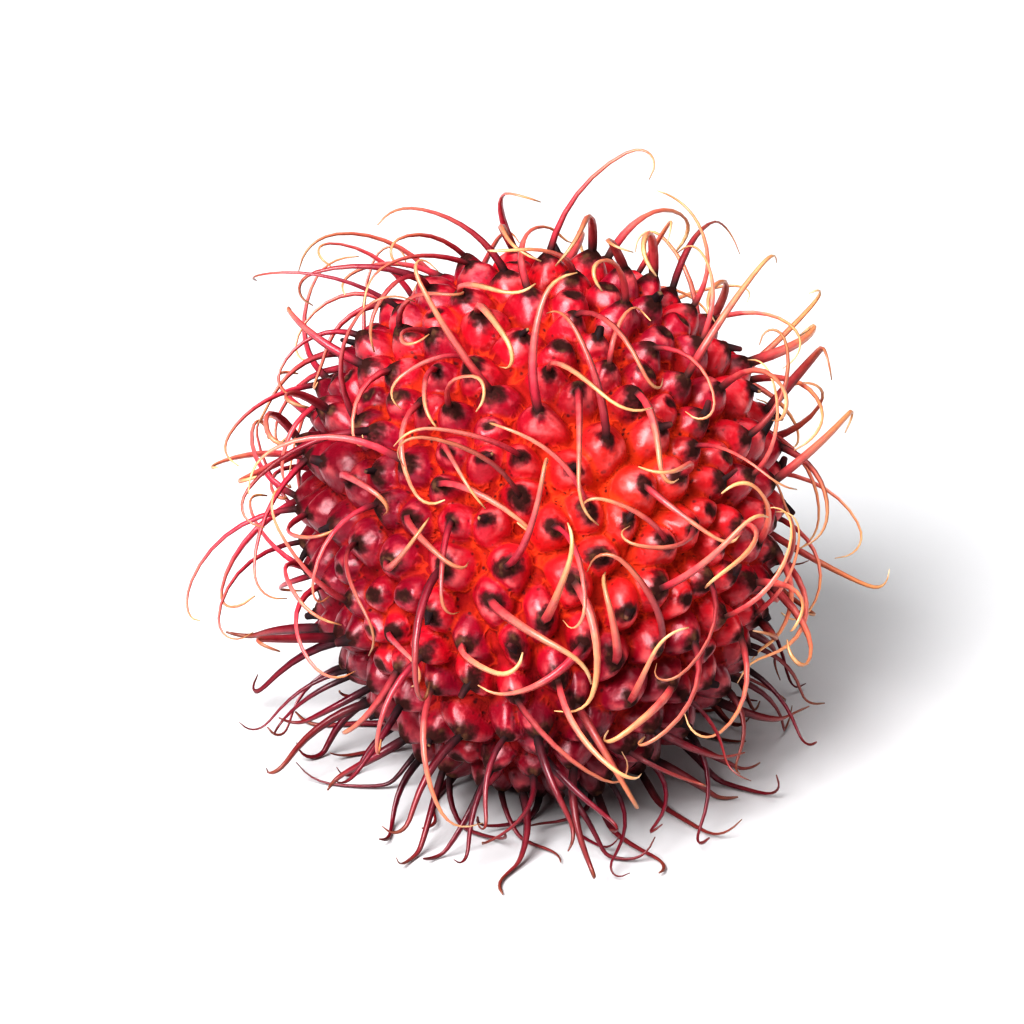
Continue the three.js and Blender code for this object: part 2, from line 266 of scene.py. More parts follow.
@dataclass
class Tubercles:
    """The tubercles: an even spiral of them, a little strayed, and small ones in the widest gaps."""

    body: Body
    count: int = 306
    small_count: int = 96
    small_size: float = 0.82
    small_hairy: float = 0.45
    sites: int = 6000
    height_spread: float = 0.25
    jitter: float = 0.045
    bare_round_stalk: float = 4.5
    full_round_stalk: float = 8.0
    hairless_under: float = 0.3
    pressed: float = 0.4
    crushed: float = 1.2

    index: np.ndarray = field(init=False)
    size: np.ndarray = field(init=False)
    directions: np.ndarray = field(init=False)
    heights: np.ndarray = field(init=False)
    grown: np.ndarray = field(init=False)
    tops: np.ndarray = field(init=False)
    normals: np.ndarray = field(init=False)
    turn: np.ndarray = field(init=False)
    shift: np.ndarray = field(init=False)

    def __post_init__(self) -> None:
        """Places the tubercles and stands the fruit on the lowest one."""
        draws = (Draw.STRAY_X, Draw.STRAY_Y, Draw.STRAY_Z)
        stray = np.stack([draw(np.arange(self.count), which) for which in draws], axis=-1) - 0.5
        strayed = unit(self.spiral(self.count) + 2 * self.jitter * stray)
        self.directions = self.with_gaps_filled(strayed)
        self.index = np.arange(len(self.directions), dtype=float)
        self.size = np.where(self.index < self.count, 1.0, self.small_size)
        from_stalk = np.hypot(self.directions[:, 0], self.directions[:, 1]) * self.body.width / 2
        from_stalk = np.where(self.directions[:, 2] > 0, from_stalk, np.inf)
        self.grown = smoothstep(from_stalk, self.bare_round_stalk, self.full_round_stalk)
        spread = 1 + either(self.height_spread, draw(self.index, Draw.HEIGHT))
        self.heights = self.body.relief * spread * self.grown * self.size
        local = self.body.point(self.directions, self.heights)
        self.turn = self.body.turn()
        self.normals = self.body.normal(local) @ self.turn.T
        turned = local @ self.turn.T
        lowest = turned[np.argmin(turned[: self.count, 2])]
        self.shift = np.array([-lowest[0], -lowest[1], -lowest[2] - self.pressed])
        self.tops = turned + self.shift

    @staticmethod
    def spiral(count: int) -> np.ndarray:
        """Spaces directions evenly on a spiral from the stalk end to the apex.

        Args:
            count: How many.

        Returns:
            Unit rows in the body's own frame.
        """
        index = np.arange(count, dtype=float)
        z = 1 - 2 * (index + 0.5) / count
        across = np.sqrt(1 - z * z)
        turn = index * GOLDEN_ANGLE
        return np.stack([across * np.cos(turn), across * np.sin(turn), z], axis=-1)

    def with_gaps_filled(self, directions: np.ndarray) -> np.ndarray:
        """Adds the small tubercles, each where the widest gap is left.

        Args:
            directions: Those of the tubercles of the spiral.

        Returns:
            The same directions, followed by those of the small ones.
        """
        sites = self.spiral(self.sites)
        places = self.body.point(sites, 0)
        feet = self.body.point(directions, 0)
        gaps = np.min(np.linalg.norm(places[:, None] - feet[None], axis=-1), axis=1)
        chosen = []
        for _ in range(self.small_count):
            widest = int(np.argmax(gaps))
            chosen.append(widest)
            gaps = np.minimum(gaps, np.linalg.norm(places - places[widest], axis=-1))
        return np.vstack([directions, sites[chosen]])

    def posed(self, local: np.ndarray) -> np.ndarray:
        """Takes points from the body's own frame to the part's."""
        return local @ self.turn.T + self.shift

    def unposed(self, points: np.ndarray) -> np.ndarray:
        """Takes points from the part's frame to the body's own."""
        return (points - self.shift) @ self.turn

    def bearing(self) -> np.ndarray:
        """Finds the tubercles that bear a hair, which many of the small ones have lost.

        Returns:
            Their numbers.
        """
        hairy = (self.index < self.count) | (draw(self.index, Draw.SMALL_HAIRY) < self.small_hairy)
        grown = self.grown > self.hairless_under
        return np.flatnonzero(hairy & grown & (self.tops[:, 2] > self.crushed))


@dataclass
class Spinterns:
    """The rule that the hairs grow by: out at a slant, round in one arc, and a hook at the end."""

    tubercles: Tubercles
    length: Span = (11.0, 17.5)
    radius: float = 0.5
    root_flare: float = 1.35
    tip_share: float = 0.42
    lean: Span = (0.2, 0.9)
    bend: Span = (1.1, 2.7)
    twist: float = 1.45
    hook: Span = (1.1, 2.9)
    hook_twist: float = 1.0
    hook_from: float = 0.76
    stubs: float = 0.2
    steps: int = 24
    stub_steps: int = 3
    low: float = 13.0
    low_outward: float = 1.1
    low_fan: float = 0.9
    low_bend: Span = (0.8, 2.2)
    low_twist: float = 1.3
    low_length: float = 0.78
    clear: float = 0.2
    free_steps: int = 5
    apart: float = 0.7
    attempts: int = 60

    def radii(self) -> np.ndarray:
        """Tapers the hair, with a flare at its root.

        Returns:
            The radius at each step.
        """
        share = np.arange(self.steps + 1) / self.steps
        radii = self.radius * (1 - (1 - self.tip_share) * np.minimum(1, share / self.hook_from))
        radii[0] *= self.root_flare
        return radii

    def is_low(self, roots: np.ndarray, normals: np.ndarray) -> np.ndarray:
        """Tells which hairs run out over the surface that the fruit lies on."""
        return (roots[:, 2] < self.low) & (normals[:, 2] < 0)

    def plan(self, roots: np.ndarray, normals: np.ndarray, key: np.ndarray) -> tuple[np.ndarray, ...]:
        """Plans how each hair starts and turns.

        Args:
            roots: Where the hairs stand.
            normals: The outward normals there.
            key: The number that each hair's draws go by.

        Returns:
            First directions, axes of the arcs, turns of the arcs, the signs of the hooks, and sizes.
        """
        low = self.is_low(roots, normals)
        spin = 2 * math.pi * draw(key, Draw.SIDE)
        east = unit(np.cross(UP, normals))
        axes = np.cross(normals, rotated(east, normals, spin))
        directions = rotated(normals, axes, between(self.lean, draw(key, Draw.LEAN)))
        axes = rotated(axes, directions, either(self.twist, draw(key, Draw.TWIST)))
        bends = between(self.bend, draw(key, Draw.BEND))

        outward = unit(roots * [1, 1, 0])
        outward = rotated(outward, UP, either(self.low_fan, draw(key, Draw.SIDE)))
        low_directions = unit(outward * self.low_outward + normals)
        low_axes = unit(np.cross(UP, low_directions))
        low_axes = rotated(low_axes, low_directions, either(self.low_twist, draw(key, Draw.TWIST)))
        directions[low] = low_directions[low]
        axes[low] = low_axes[low]
        bends[low] = between(self.low_bend, draw(key, Draw.LEAN))[low]
        return directions, axes, bends, np.where(low, -1.0, 1.0), np.where(low, self.low_length, 1.0)

    def walk(self, numbers: np.ndarray) -> np.ndarray:
        """Walks every attempt at every hair.

        Args:
            numbers: The tubercles that bear the hairs.

        Returns:
            Points by attempt, hair and step.
        """
        key = (numbers[None, :] + np.arange(self.attempts)[:, None] * self.tubercles.count).ravel()
        points = np.tile(self.tubercles.tops[numbers], (self.attempts, 1))
        normals = np.tile(self.tubercles.normals[numbers], (self.attempts, 1))
        directions, axes, bends, signs, shares = self.plan(points, normals, key)
        hooks = signs * between(self.hook, draw(key, Draw.HOOK)) / (self.steps * (1 - self.hook_from))
        hook_twists = either(self.hook_twist, draw(key, Draw.HOOK_TWIST))
        size = np.tile(self.tubercles.size[numbers], self.attempts)
        strides = (between(self.length, draw(key, Draw.LENGTH)) * shares * size / self.steps)[:, None]
        radii = self.radii()[:, None] * size
        path = [points.copy()]
        for step in range(1, self.steps + 1):
            hooking = step / self.steps > self.hook_from
            if hooking and (step - 1) / self.steps <= self.hook_from:
                axes = rotated(axes, directions, hook_twists)
            directions = rotated(directions, axes, hooks if hooking else bends / self.steps)
            points = points + directions * strides
            if step > self.free_steps:
                points, directions = self.off_the_rind(points, directions, radii[step])
            points, directions = self.off_the_surface(points, directions, radii[step])
            path.append(points.copy())
        return np.stack(path, axis=1).reshape(self.attempts, len(numbers), self.steps + 1, 3)

    def off_the_rind(
        self, points: np.ndarray, directions: np.ndarray, radius: np.ndarray
    ) -> tuple[np.ndarray, np.ndarray]:
        """Pushes points out of the rind and turns their directions along it.

        Args:
            points: Where the hairs have got to.
            directions: Which way they run.
            radius: How thick they are there.

        Returns:
            The points and the directions.
        """
        body = self.tubercles.body
        local = self.tubercles.unposed(points)
        height = body.relief * (1 + self.tubercles.height_spread) + self.clear + radius
        reach = body.reach(local, height)
        inside = (reach < 1)[:, None]
        normals = body.normal(local) @ self.tubercles.turn.T
        pushed = self.tubercles.posed(local / reach[:, None])
        inward = np.minimum(0, np.sum(directions * normals, axis=-1, keepdims=True))
        turned = unit(directions - normals * inward)
        return np.where(inside, pushed, points), np.where(inside, turned, directions)

    def off_the_surface(
        self, points: np.ndarray, directions: np.ndarray, radius: np.ndarray
    ) -> tuple[np.ndarray, np.ndarray]:
        """Lifts points onto the surface that the fruit lies on.

        Args:
            points: Where the hairs have got to.
            directions: Which way they run.
            radius: How thick they are there.

        Returns:
            The points and the directions.
        """
        under = points[:, 2] < radius
        lifted, level = points.copy(), directions.copy()
        lifted[under, 2] = radius[under]
        level[under, 2] = np.maximum(level[under, 2], 0)
        return lifted, np.where(under[:, None], unit(level), directions)

    def grow(self) -> Paths:
        """Grows the hairs, each by its first attempt that keeps apart from those before it.

        Returns:
            The centreline of each hair by the number of its tubercle.
        """
        numbers = self.tubercles.bearing()
        walks = self.walk(numbers)
        laid = np.empty((0, 3))
        laid_radii = np.empty(0)
        laid_roots = np.empty((0, 3))
        paths: Paths = {}
        for place, number in enumerate(numbers):
            broken = draw(number, Draw.BROKEN) < self.stubs
            last = self.stub_steps if broken else self.steps
            radii = self.radii() * self.tubercles.size[number]
            root = self.tubercles.tops[number]
            near = np.linalg.norm(laid_roots - root, axis=-1) <= 2 * self.length[1]
            others, their_radii = laid[near], laid_radii[near]
            best_gap = -np.inf
            for attempt in range(self.attempts):
                path = walks[attempt, place, : last + 1]
                gap = self.gap(path, radii, others, their_radii)
                if gap > best_gap:
                    best_gap, best = gap, path
                if best_gap >= self.apart:
                    break
            paths[int(number)] = best
            laid = np.vstack([laid, best])
            laid_radii = np.append(laid_radii, radii[: last + 1])
            laid_roots = np.vstack([laid_roots, np.tile(root, (last + 1, 1))])
        return paths

    @staticmethod
    def gap(path: np.ndarray, radii: np.ndarray, others: np.ndarray, their_radii: np.ndarray) -> float:
        """Measures the gap between a path, past its root, and the hairs near it.

        Args:
            path: The hair's centreline.
            radii: Its radius at each step.
            others: The points of the hairs near it.
            their_radii: Their radius at each of those points.

        Returns:
            The narrowest gap, under zero where they cross.
        """
        if not len(others):
            return np.inf
        apart = np.linalg.norm(path[1:, None] - others[None], axis=-1)
        return float(np.min(apart - radii[1 : len(path), None] - their_radii[None]))


class Ops:
    """Short calls to Blender's own modelling operators."""

    @staticmethod
    def clear_selection() -> None:
        """Leaves object mode with nothing selected."""
        if bpy.context.object and bpy.context.object.mode != "OBJECT":
            bpy.ops.object.mode_set(mode="OBJECT")
        bpy.ops.object.select_all(action="DESELECT")

    @staticmethod
    def select_only(*pieces: bpy.types.Object) -> None:
        """Selects some objects and makes the first one active.

        Args:
            *pieces: The objects.
        """
        Ops.clear_selection()
        for piece in pieces:
            piece.select_set(True)
        bpy.context.view_layer.objects.active = pieces[0]

    @staticmethod
    def join(pieces: Sequence[bpy.types.Object], name: str) -> bpy.types.Object:
        """Joins pieces into the first of them and names it.

        Args:
            pieces: The pieces.
            name: The name of the one that is left.

        Returns:
            That one.
        """
        Ops.select_only(*pieces)
        bpy.ops.object.join()
        pieces[0].name = name
        pieces[0].data.name = name
        return pieces[0]

    @staticmethod
    def edit_only(piece: bpy.types.Object, element: Element, wanted: Callable[[object], bool]) -> None:
        """Opens the active object for editing, with some of its edges or faces selected.

        Args:
            piece: The object.
            element: Whether edges or faces are selected.
            wanted: Tells whether one of them is.
        """
        bpy.ops.object.mode_set(mode="EDIT")
        bpy.ops.mesh.select_mode(type=element.value)
        bpy.ops.mesh.select_all(action="DESELECT")
        bpy.ops.object.mode_set(mode="OBJECT")
        for item in piece.data.edges if element is Element.EDGE else piece.data.polygons:
            item.select = wanted(item)
        bpy.ops.object.mode_set(mode="EDIT")


def points_of(mesh: bpy.types.Mesh) -> np.ndarray:
    """Reads a mesh's points.

    Args:
        mesh: The mesh.

    Returns:
        A row for each point.
    """
    flat = np.empty(len(mesh.vertices) * 3, np.float32)
    mesh.vertices.foreach_get("co", flat)
    return flat.reshape(-1, 3).astype(float)


def put_points(mesh: bpy.types.Mesh, points: np.ndarray) -> None:
    """Moves a mesh's points to places given in millimetres."""
    mesh.vertices.foreach_set("co", (points * MM).astype(np.float32).ravel())
    mesh.update()


def put_marks(mesh: bpy.types.Mesh, marks: dict[Mark, np.ndarray]) -> None:
    """Stores numbers on a mesh's points, for its finish to read.

    Args:
        mesh: The mesh.
        marks: Each mark's value at every point.
    """
    for mark, values in marks.items():
        attribute = mesh.attributes.new(mark.value, "FLOAT", "POINT")
        attribute.data.foreach_set("value", values.astype(np.float32))


def smooth_noise(points: np.ndarray, size: float, octaves: int) -> np.ndarray:
    """Gives fractal noise at points, about -1 to 1, with features of that size."""
    scaled = points / size
    return np.array([noise.fractal(Vector(p), 1.0, 2.0, octaves) for p in scaled])


class Shader:
    """Lays the nodes of one material or node group, and links them."""

    def __init__(self, tree: bpy.types.NodeTree) -> None:
        """Empties the tree and starts on it."""
        self.tree = tree
        tree.nodes.clear()

    def add(self, kind: str, inputs: dict | None = None, **settings: object) -> bpy.types.Node:
        """Adds a node.

        Args:
            kind: Its type's name in Blender.
            inputs: A value or an output to link, by the input's name or number.
            **settings: Properties of the node.

        Returns:
            The node.
        """
        node = self.tree.nodes.new(kind)
        for name, value in settings.items():
            setattr(node, name, value)
        for name, value in (inputs or {}).items():
            if isinstance(value, Socket):
                self.tree.links.new(value, node.inputs[name])
            else:
                node.inputs[name].default_value = value
        return node

    def mark(self, mark: Mark) -> Socket:
        """Reads a number stored on the piece's points."""
        return self.add("ShaderNodeAttribute", attribute_name=mark.value).outputs["Fac"]

    def place(self) -> Socket:
        """Reads the place on the object, in metres."""
        return self.add("ShaderNodeTexCoord").outputs["Object"]

    def math(self, operation: str, first: Feed, second: Feed) -> Socket:
        """Works out one number from two."""
        return self.add("ShaderNodeMath", {0: first, 1: second}, operation=operation).outputs[0]

    def times(self, first: Feed, second: Feed) -> Socket:
        """Multiplies two numbers."""
        return self.math("MULTIPLY", first, second)

    def plus(self, first: Feed, second: Feed) -> Socket:
        """Adds two numbers."""
        return self.math("ADD", first, second)

    def most(self, first: Feed, second: Feed) -> Socket:
        """Takes the greater of two numbers."""
        return self.math("MAXIMUM", first, second)

    def rest(self, share: Feed) -> Socket:
        """Gives what a share leaves of 1."""
        return self.math("SUBTRACT", 1.0, share)

    def centred(self, share: Feed) -> Socket:
        """Moves the middle of a share to zero."""
        return self.math("SUBTRACT", share, 0.5)

    def rise(self, value: Feed, low: Feed, high: Feed) -> Socket:
        """Rises smoothly from 0 at `low` to 1 at `high`."""
        inputs = {"Value": value, "From Min": low, "From Max": high}
        return self.add("ShaderNodeMapRange", inputs, interpolation_type="SMOOTHSTEP").outputs["Result"]

    def span(self, share: Feed, low: float, high: float) -> Socket:
        """Spreads a share from `low` at 0 to `high` at 1."""
        inputs = {"Value": share, "To Min": low, "To Max": high}
        return self.add("ShaderNodeMapRange", inputs).outputs["Result"]

    def mix(self, share: Feed, first: Tint, second: Tint) -> Socket:
        """Mixes two colours."""
        inputs = {0: share, 6: self.rgba(first), 7: self.rgba(second)}
        return self.add("ShaderNodeMix", inputs, data_type="RGBA").outputs[2]

    def ramp(self, share: Feed, stops: Ramp) -> Socket:
        """Looks a colour up on a ramp.

        Args:
            share: Where on the ramp.
            stops: Its places and colours.

        Returns:
            The colour.
        """
        node = self.add("ShaderNodeValToRGB", {"Fac": share})
        elements = node.color_ramp.elements
        elements.remove(elements[0])
        elements[0].position, elements[0].color = stops[0][0], (*stops[0][1], 1)
        for position, colour in stops[1:]:
            elements.new(position).color = (*colour, 1)
        return node.outputs["Color"]

    @staticmethod
    def rgba(colour: Tint) -> Socket | tuple[float, ...]:
        """Gives a plain colour its alpha, and leaves a socket as it is."""
        return colour if isinstance(colour, Socket) else (*colour, 1)


class Effect(Enum):
    """The shader groups that several finishes share."""

    MOTTLE = "mottle"
    FINE_BUMP = "fine_bump"


class EffectLibrary:
    """Builds each shared shader group once, and places it."""

    @staticmethod
    def place(shader: Shader, effect: Effect, output: str, **inputs: float) -> Socket:
        """Places an effect among the nodes of a material."""
        return shader.add("ShaderNodeGroup", inputs, node_tree=EffectLibrary.get(effect)).outputs[output]

    @staticmethod
    def get(effect: Effect) -> bpy.types.NodeTree:
        """Finds an effect's group, and builds it at the first call.

        Args:
            effect: The effect.

        Returns:
            Its group.
        """
        found = bpy.data.node_groups.get(effect.value)
        if found:
            return found
        builders = {Effect.MOTTLE: EffectLibrary.mottle, Effect.FINE_BUMP: EffectLibrary.fine_bump}
        group = bpy.data.node_groups.new(effect.value, "ShaderNodeTree")
        builders[effect](group)
        return group

    @staticmethod
    def start(group: bpy.types.NodeTree, inputs: dict[str, float], output: str) -> tuple[Shader, dict]:
        """Gives a group its sockets.

        Args:
            group: The empty group.
            inputs: The value of each input before a material sets it.
            output: The name of its one output.

        Returns:
            The shader that lays its nodes, and its inputs by name.
        """
        for name, value in inputs.items():
            socket = group.interface.new_socket(name, in_out="INPUT", socket_type="NodeSocketFloat")
            socket.default_value = value
        group.interface.new_socket(output, in_out="OUTPUT", socket_type="NodeSocketFloat")
        shader = Shader(group)
        given = shader.add("NodeGroupInput").outputs
        return shader, {name: given[name] for name in inputs}

    @staticmethod
    def mottle(group: bpy.types.NodeTree) -> None:
        """Makes soft blotches: a mask that rises between two levels of a noise.

        Args:
            group: The empty group.
        """
        inputs = {"Scale": 100.0, "Detail": 3.0, "Low": 0.4, "High": 0.6}
        shader, given = EffectLibrary.start(group, inputs, "Mask")
        settings = {"Vector": shader.place(), "Scale": given["Scale"], "Detail": given["Detail"]}
        clouds = shader.add("ShaderNodeTexNoise", settings)
        mask = shader.rise(clouds.outputs["Fac"], given["Low"], given["High"])
        shader.add("NodeGroupOutput", {"Mask": mask})

    @staticmethod
    def fine_bump(group: bpy.types.NodeTree) -> None:
        """Makes the height of a finely wrinkled skin.

        Args:
            group: The empty group.
        """
        shader, given = EffectLibrary.start(group, {"Scale": 900.0, "Wrinkle": 0.5}, "Height")
        settings = {"Vector": shader.place(), "Scale": given["Scale"]}
        grain = shader.add("ShaderNodeTexNoise", settings | {"Detail": 4.0})
        cells = shader.add("ShaderNodeTexVoronoi", settings)
        wrinkle = shader.times(cells.outputs["Distance"], given["Wrinkle"])
        shader.add("NodeGroupOutput", {"Height": shader.plus(grain.outputs["Fac"], wrinkle)})


@dataclass(frozen=True)
class Mottle:
    """Soft blotches: how fine and how broken they are, and the two levels that their mask rises between."""

    scale: float
    detail: float
    low: float
    high: float

    def mask(self, shader: Shader) -> Socket:
        """Places the blotches among the nodes of a material."""
        inputs = {"Scale": self.scale, "Detail": self.detail, "Low": self.low, "High": self.high}
        return EffectLibrary.place(shader, Effect.MOTTLE, "Mask", **inputs)


@dataclass(frozen=True)
class Wrinkles:
    """A finely wrinkled skin: how fine its grain is, and how deep its wrinkles."""

    scale: float
    depth: float

    def height(self, shader: Shader) -> Socket:
        """Places the wrinkles among the nodes of a material."""
        return EffectLibrary.place(shader, Effect.FINE_BUMP, "Height", Scale=self.scale, Wrinkle=self.depth)


@dataclass(frozen=True)
class Finish:
    """What every finish has: a name, the gloss of its surface and of its coat, and a bump, in metres."""

    name: str
    specular: float = 0.4
    sheen: Colour = (1.0, 1.0, 1.0)
    coat_roughness: float = 0.3
    bump: float = 0.2
    bump_depth: float = 0.0002

    def begin(self) -> tuple[bpy.types.Material, Shader]:
        """Starts the material on an empty tree.

        Returns:
            The material, and the shader that lays its nodes.
        """
        material = bpy.data.materials.new(self.name)
        material.use_nodes = True
        return material, Shader(material.node_tree)

    def end(self, shader: Shader, colour: Tint, roughness: Feed, height: Feed, coat: Feed = 0.0) -> None:
        """Feeds the surface and closes the tree.

        Args:
            shader: The material's nodes.
            colour: The colour of the surface.
            roughness: Its roughness.
            height: The height that its bump is made from.
            coat: The weight of its coat.
        """
        relief = {"Strength": self.bump, "Distance": self.bump_depth, "Height": height}
        bump = shader.add("ShaderNodeBump", relief)
        surface = shader.add(
            "ShaderNodeBsdfPrincipled",
            {
                "Base Color": colour,
                "Roughness": roughness,
                "Normal": bump.outputs["Normal"],
                "Specular IOR Level": self.specular,
                "Specular Tint": (*self.sheen, 1),
                "Coat Weight": coat,
                "Coat Roughness": self.coat_roughness,
            },
        )
        shader.add("ShaderNodeOutputMaterial", {"Surface": surface.outputs["BSDF"]})


@dataclass(frozen=True)
class RindFinish(Finish):
    """Scarlet rind: glossy tubercles, orange grooves with dark specks, a black blotch at each hair."""

    specular: float = 0.45
    sheen: Colour = (1.0, 0.42, 0.45)
    bump: float = 0.5
    bump_depth: float = 0.0003
    roughness: Span = (0.36, 0.85)
    coat: float = 0.5
    coat_roughness: float = 0.28
    wrinkles: Wrinkles = Wrinkles(1100.0, 0.6)

    scarlet: Colour = (0.50, 0.008, 0.022)
    crimson: Colour = (0.24, 0.003, 0.026)
    # Maroon is both the stain round each hair's blotch and the colour of the painted shade.
    maroon_stain_and_shade: Colour = (0.11, 0.002, 0.013)
    orange: Colour = (0.72, 0.050, 0.010)
    ripe: Mottle = Mottle(70.0, 2.0, 0.36, 0.64)
    flushed: float = 0.7
    # How far the painted shade darkens the tubercles.
    painted_shade_on_domes: float = 0.85

    # The dark red of the grooves is partly their own colour and partly painted shade in the creases.
    groove: Colour = (0.22, 0.003, 0.006)
    bright_groove: Colour = (0.68, 0.066, 0.012)
    valley_relief: Span = (0.04, 0.36)
    # How far the painted shade darkens the grooves.
    painted_shade_in_valleys: float = 0.8
    veins: Mottle = Mottle(260.0, 3.0, 0.4, 0.62)
    veined: float = 0.35
    folds: Mottle = Mottle(430.0, 2.5, 0.44, 0.56)
    fold_height: float = 4.0
    folded: float = 0.45

    # Pale rose on the tubercles' crowns: partly their own bloom, partly a painted highlight.
    rose_bloom_and_highlight: Colour = (0.80, 0.165, 0.165)
    bloom_and_highlight: Mottle = Mottle(650.0, 4.0, 0.42, 0.66)
    crown_relief: Span = (0.45, 0.95)
    paling_by_painted_shade: Span = (0.75, 0.3)

    speck: Colour = (0.05, 0.006, 0.008)
    speckled: Mottle = Mottle(900.0, 2.0, 0.46, 0.56)
    speck_scale: float = 1500.0
    speck_edge: Span = (0.12, 0.36)

    blotch: Colour = (0.024, 0.008, 0.006)
    ash: Colour = (0.090, 0.045, 0.024)
    ashen: Mottle = Mottle(900.0, 3.0, 0.52, 0.72)
    ragged: Mottle = Mottle(1700.0, 6.0, 0.2, 0.8)
    raggedness: float = 0.5
    stain_edge: Span = (0.05, 0.65)
    stained: float = 0.8
    blotch_edge: Span = (0.35, 0.95)

    def material(self) -> bpy.types.Material:
        """Lays the colours over one another, from the bare skin to the blotches.

        Returns:
            The material.
        """
        material, shader = self.begin()
        # Low relief mixes in the grooves' colour, which is partly painted shade in the creases.
        low = shader.rest(shader.rise(shader.mark(Mark.RELIEF), *self.valley_relief))
        band = self.folds.mask(shader)
        fold = shader.times(band, shader.rest(band))
        fold = shader.times(fold, shader.span(low, 0.0, self.fold_height))
        colour = shader.mix(low, self.domes(shader), self.valleys(shader, fold))
        # Painted highlight: pale rose on the crowns, partly the skin's own bloom.
        colour = shader.mix(self.pale_crowns_and_highlight(shader), colour, self.rose_bloom_and_highlight)
        colour = shader.mix(self.specks(shader), colour, self.speck)
        frayed = shader.times(shader.centred(self.ragged.mask(shader)), self.raggedness)
        worn = shader.plus(shader.mark(Mark.SPOT), frayed)
        stain = shader.times(shader.rise(worn, *self.stain_edge), self.stained)
        colour = shader.mix(stain, colour, self.maroon_stain_and_shade)
        dark = shader.rise(worn, *self.blotch_edge)
        colour = shader.mix(dark, colour, shader.mix(self.ashen.mask(shader), self.blotch, self.ash))
        dull = shader.most(dark, low)
        height = shader.plus(self.wrinkles.height(shader), fold)
        gloss = shader.span(dull, self.coat, 0.0)
        self.end(shader, colour, shader.span(dull, *self.roughness), height, gloss)
        return material

    def domes(self, shader: Shader) -> Socket:
        """Colours the tubercles scarlet to crimson, flushed with orange, and darkened to maroon by painted
        shade.

        Args:
            shader: The material's nodes.

        Returns:
            The colour.
        """
        ripe = shader.most(self.ripe.mask(shader), shader.mark(Mark.TONE))
        colour = shader.mix(ripe, self.scarlet, self.crimson)
        colour = shader.mix(shader.times(shader.mark(Mark.ORANGE), self.flushed), colour, self.orange)
        # Painted shade on the left and the underside darkens the tubercles to maroon.
        return shader.mix(shader.times(shader.mark(Mark.DEEP), self.painted_shade_on_domes), colour, self.maroon_stain_and_shade)

    def valleys(self, shader: Shader, fold: Socket) -> Socket:
        """Colours the grooves: dark red partly from painted shade, brighter on veins, folds and orange
        rind.

        Args:
            shader: The material's nodes.
            fold: The height of the folds.

        Returns:
            The colour.
        """
        vein = shader.most(shader.times(self.veins.mask(shader), self.veined), shader.mark(Mark.ORANGE))
        colour = shader.mix(vein, self.groove, self.bright_groove)
        colour = shader.mix(shader.times(fold, self.folded), colour, self.bright_groove)
        # Painted shade on the left and the underside darkens the grooves to maroon.
        return shader.mix(shader.times(shader.mark(Mark.DEEP), self.painted_shade_in_valleys), colour, self.maroon_stain_and_shade)

    def pale_crowns_and_highlight(self, shader: Shader) -> Socket:
        """Gives the crowns' pale rose: their own bloom and a painted highlight, less in painted shade.

        Args:
            shader: The material's nodes.

        Returns:
            Its mask.
        """
        crown = shader.rise(shader.mark(Mark.RELIEF), *self.crown_relief)
        bloom_and_highlight = shader.times(crown, self.bloom_and_highlight.mask(shader))
        return shader.times(bloom_and_highlight, shader.span(shader.mark(Mark.DEEP), *self.paling_by_painted_shade))

    def specks(self, shader: Shader) -> Socket:
        """Gives the fine dark specks, thickest in the grooves.

        Args:
            shader: The material's nodes.

        Returns:
            Their mask.
        """
        cells = shader.add("ShaderNodeTexVoronoi", {"Vector": shader.place(), "Scale": self.speck_scale})
        dot = shader.rest(shader.rise(cells.outputs["Distance"], *self.speck_edge))
        dot = shader.times(dot, self.speckled.mask(shader))
        return shader.times(dot, shader.rest(shader.mark(Mark.RELIEF)))


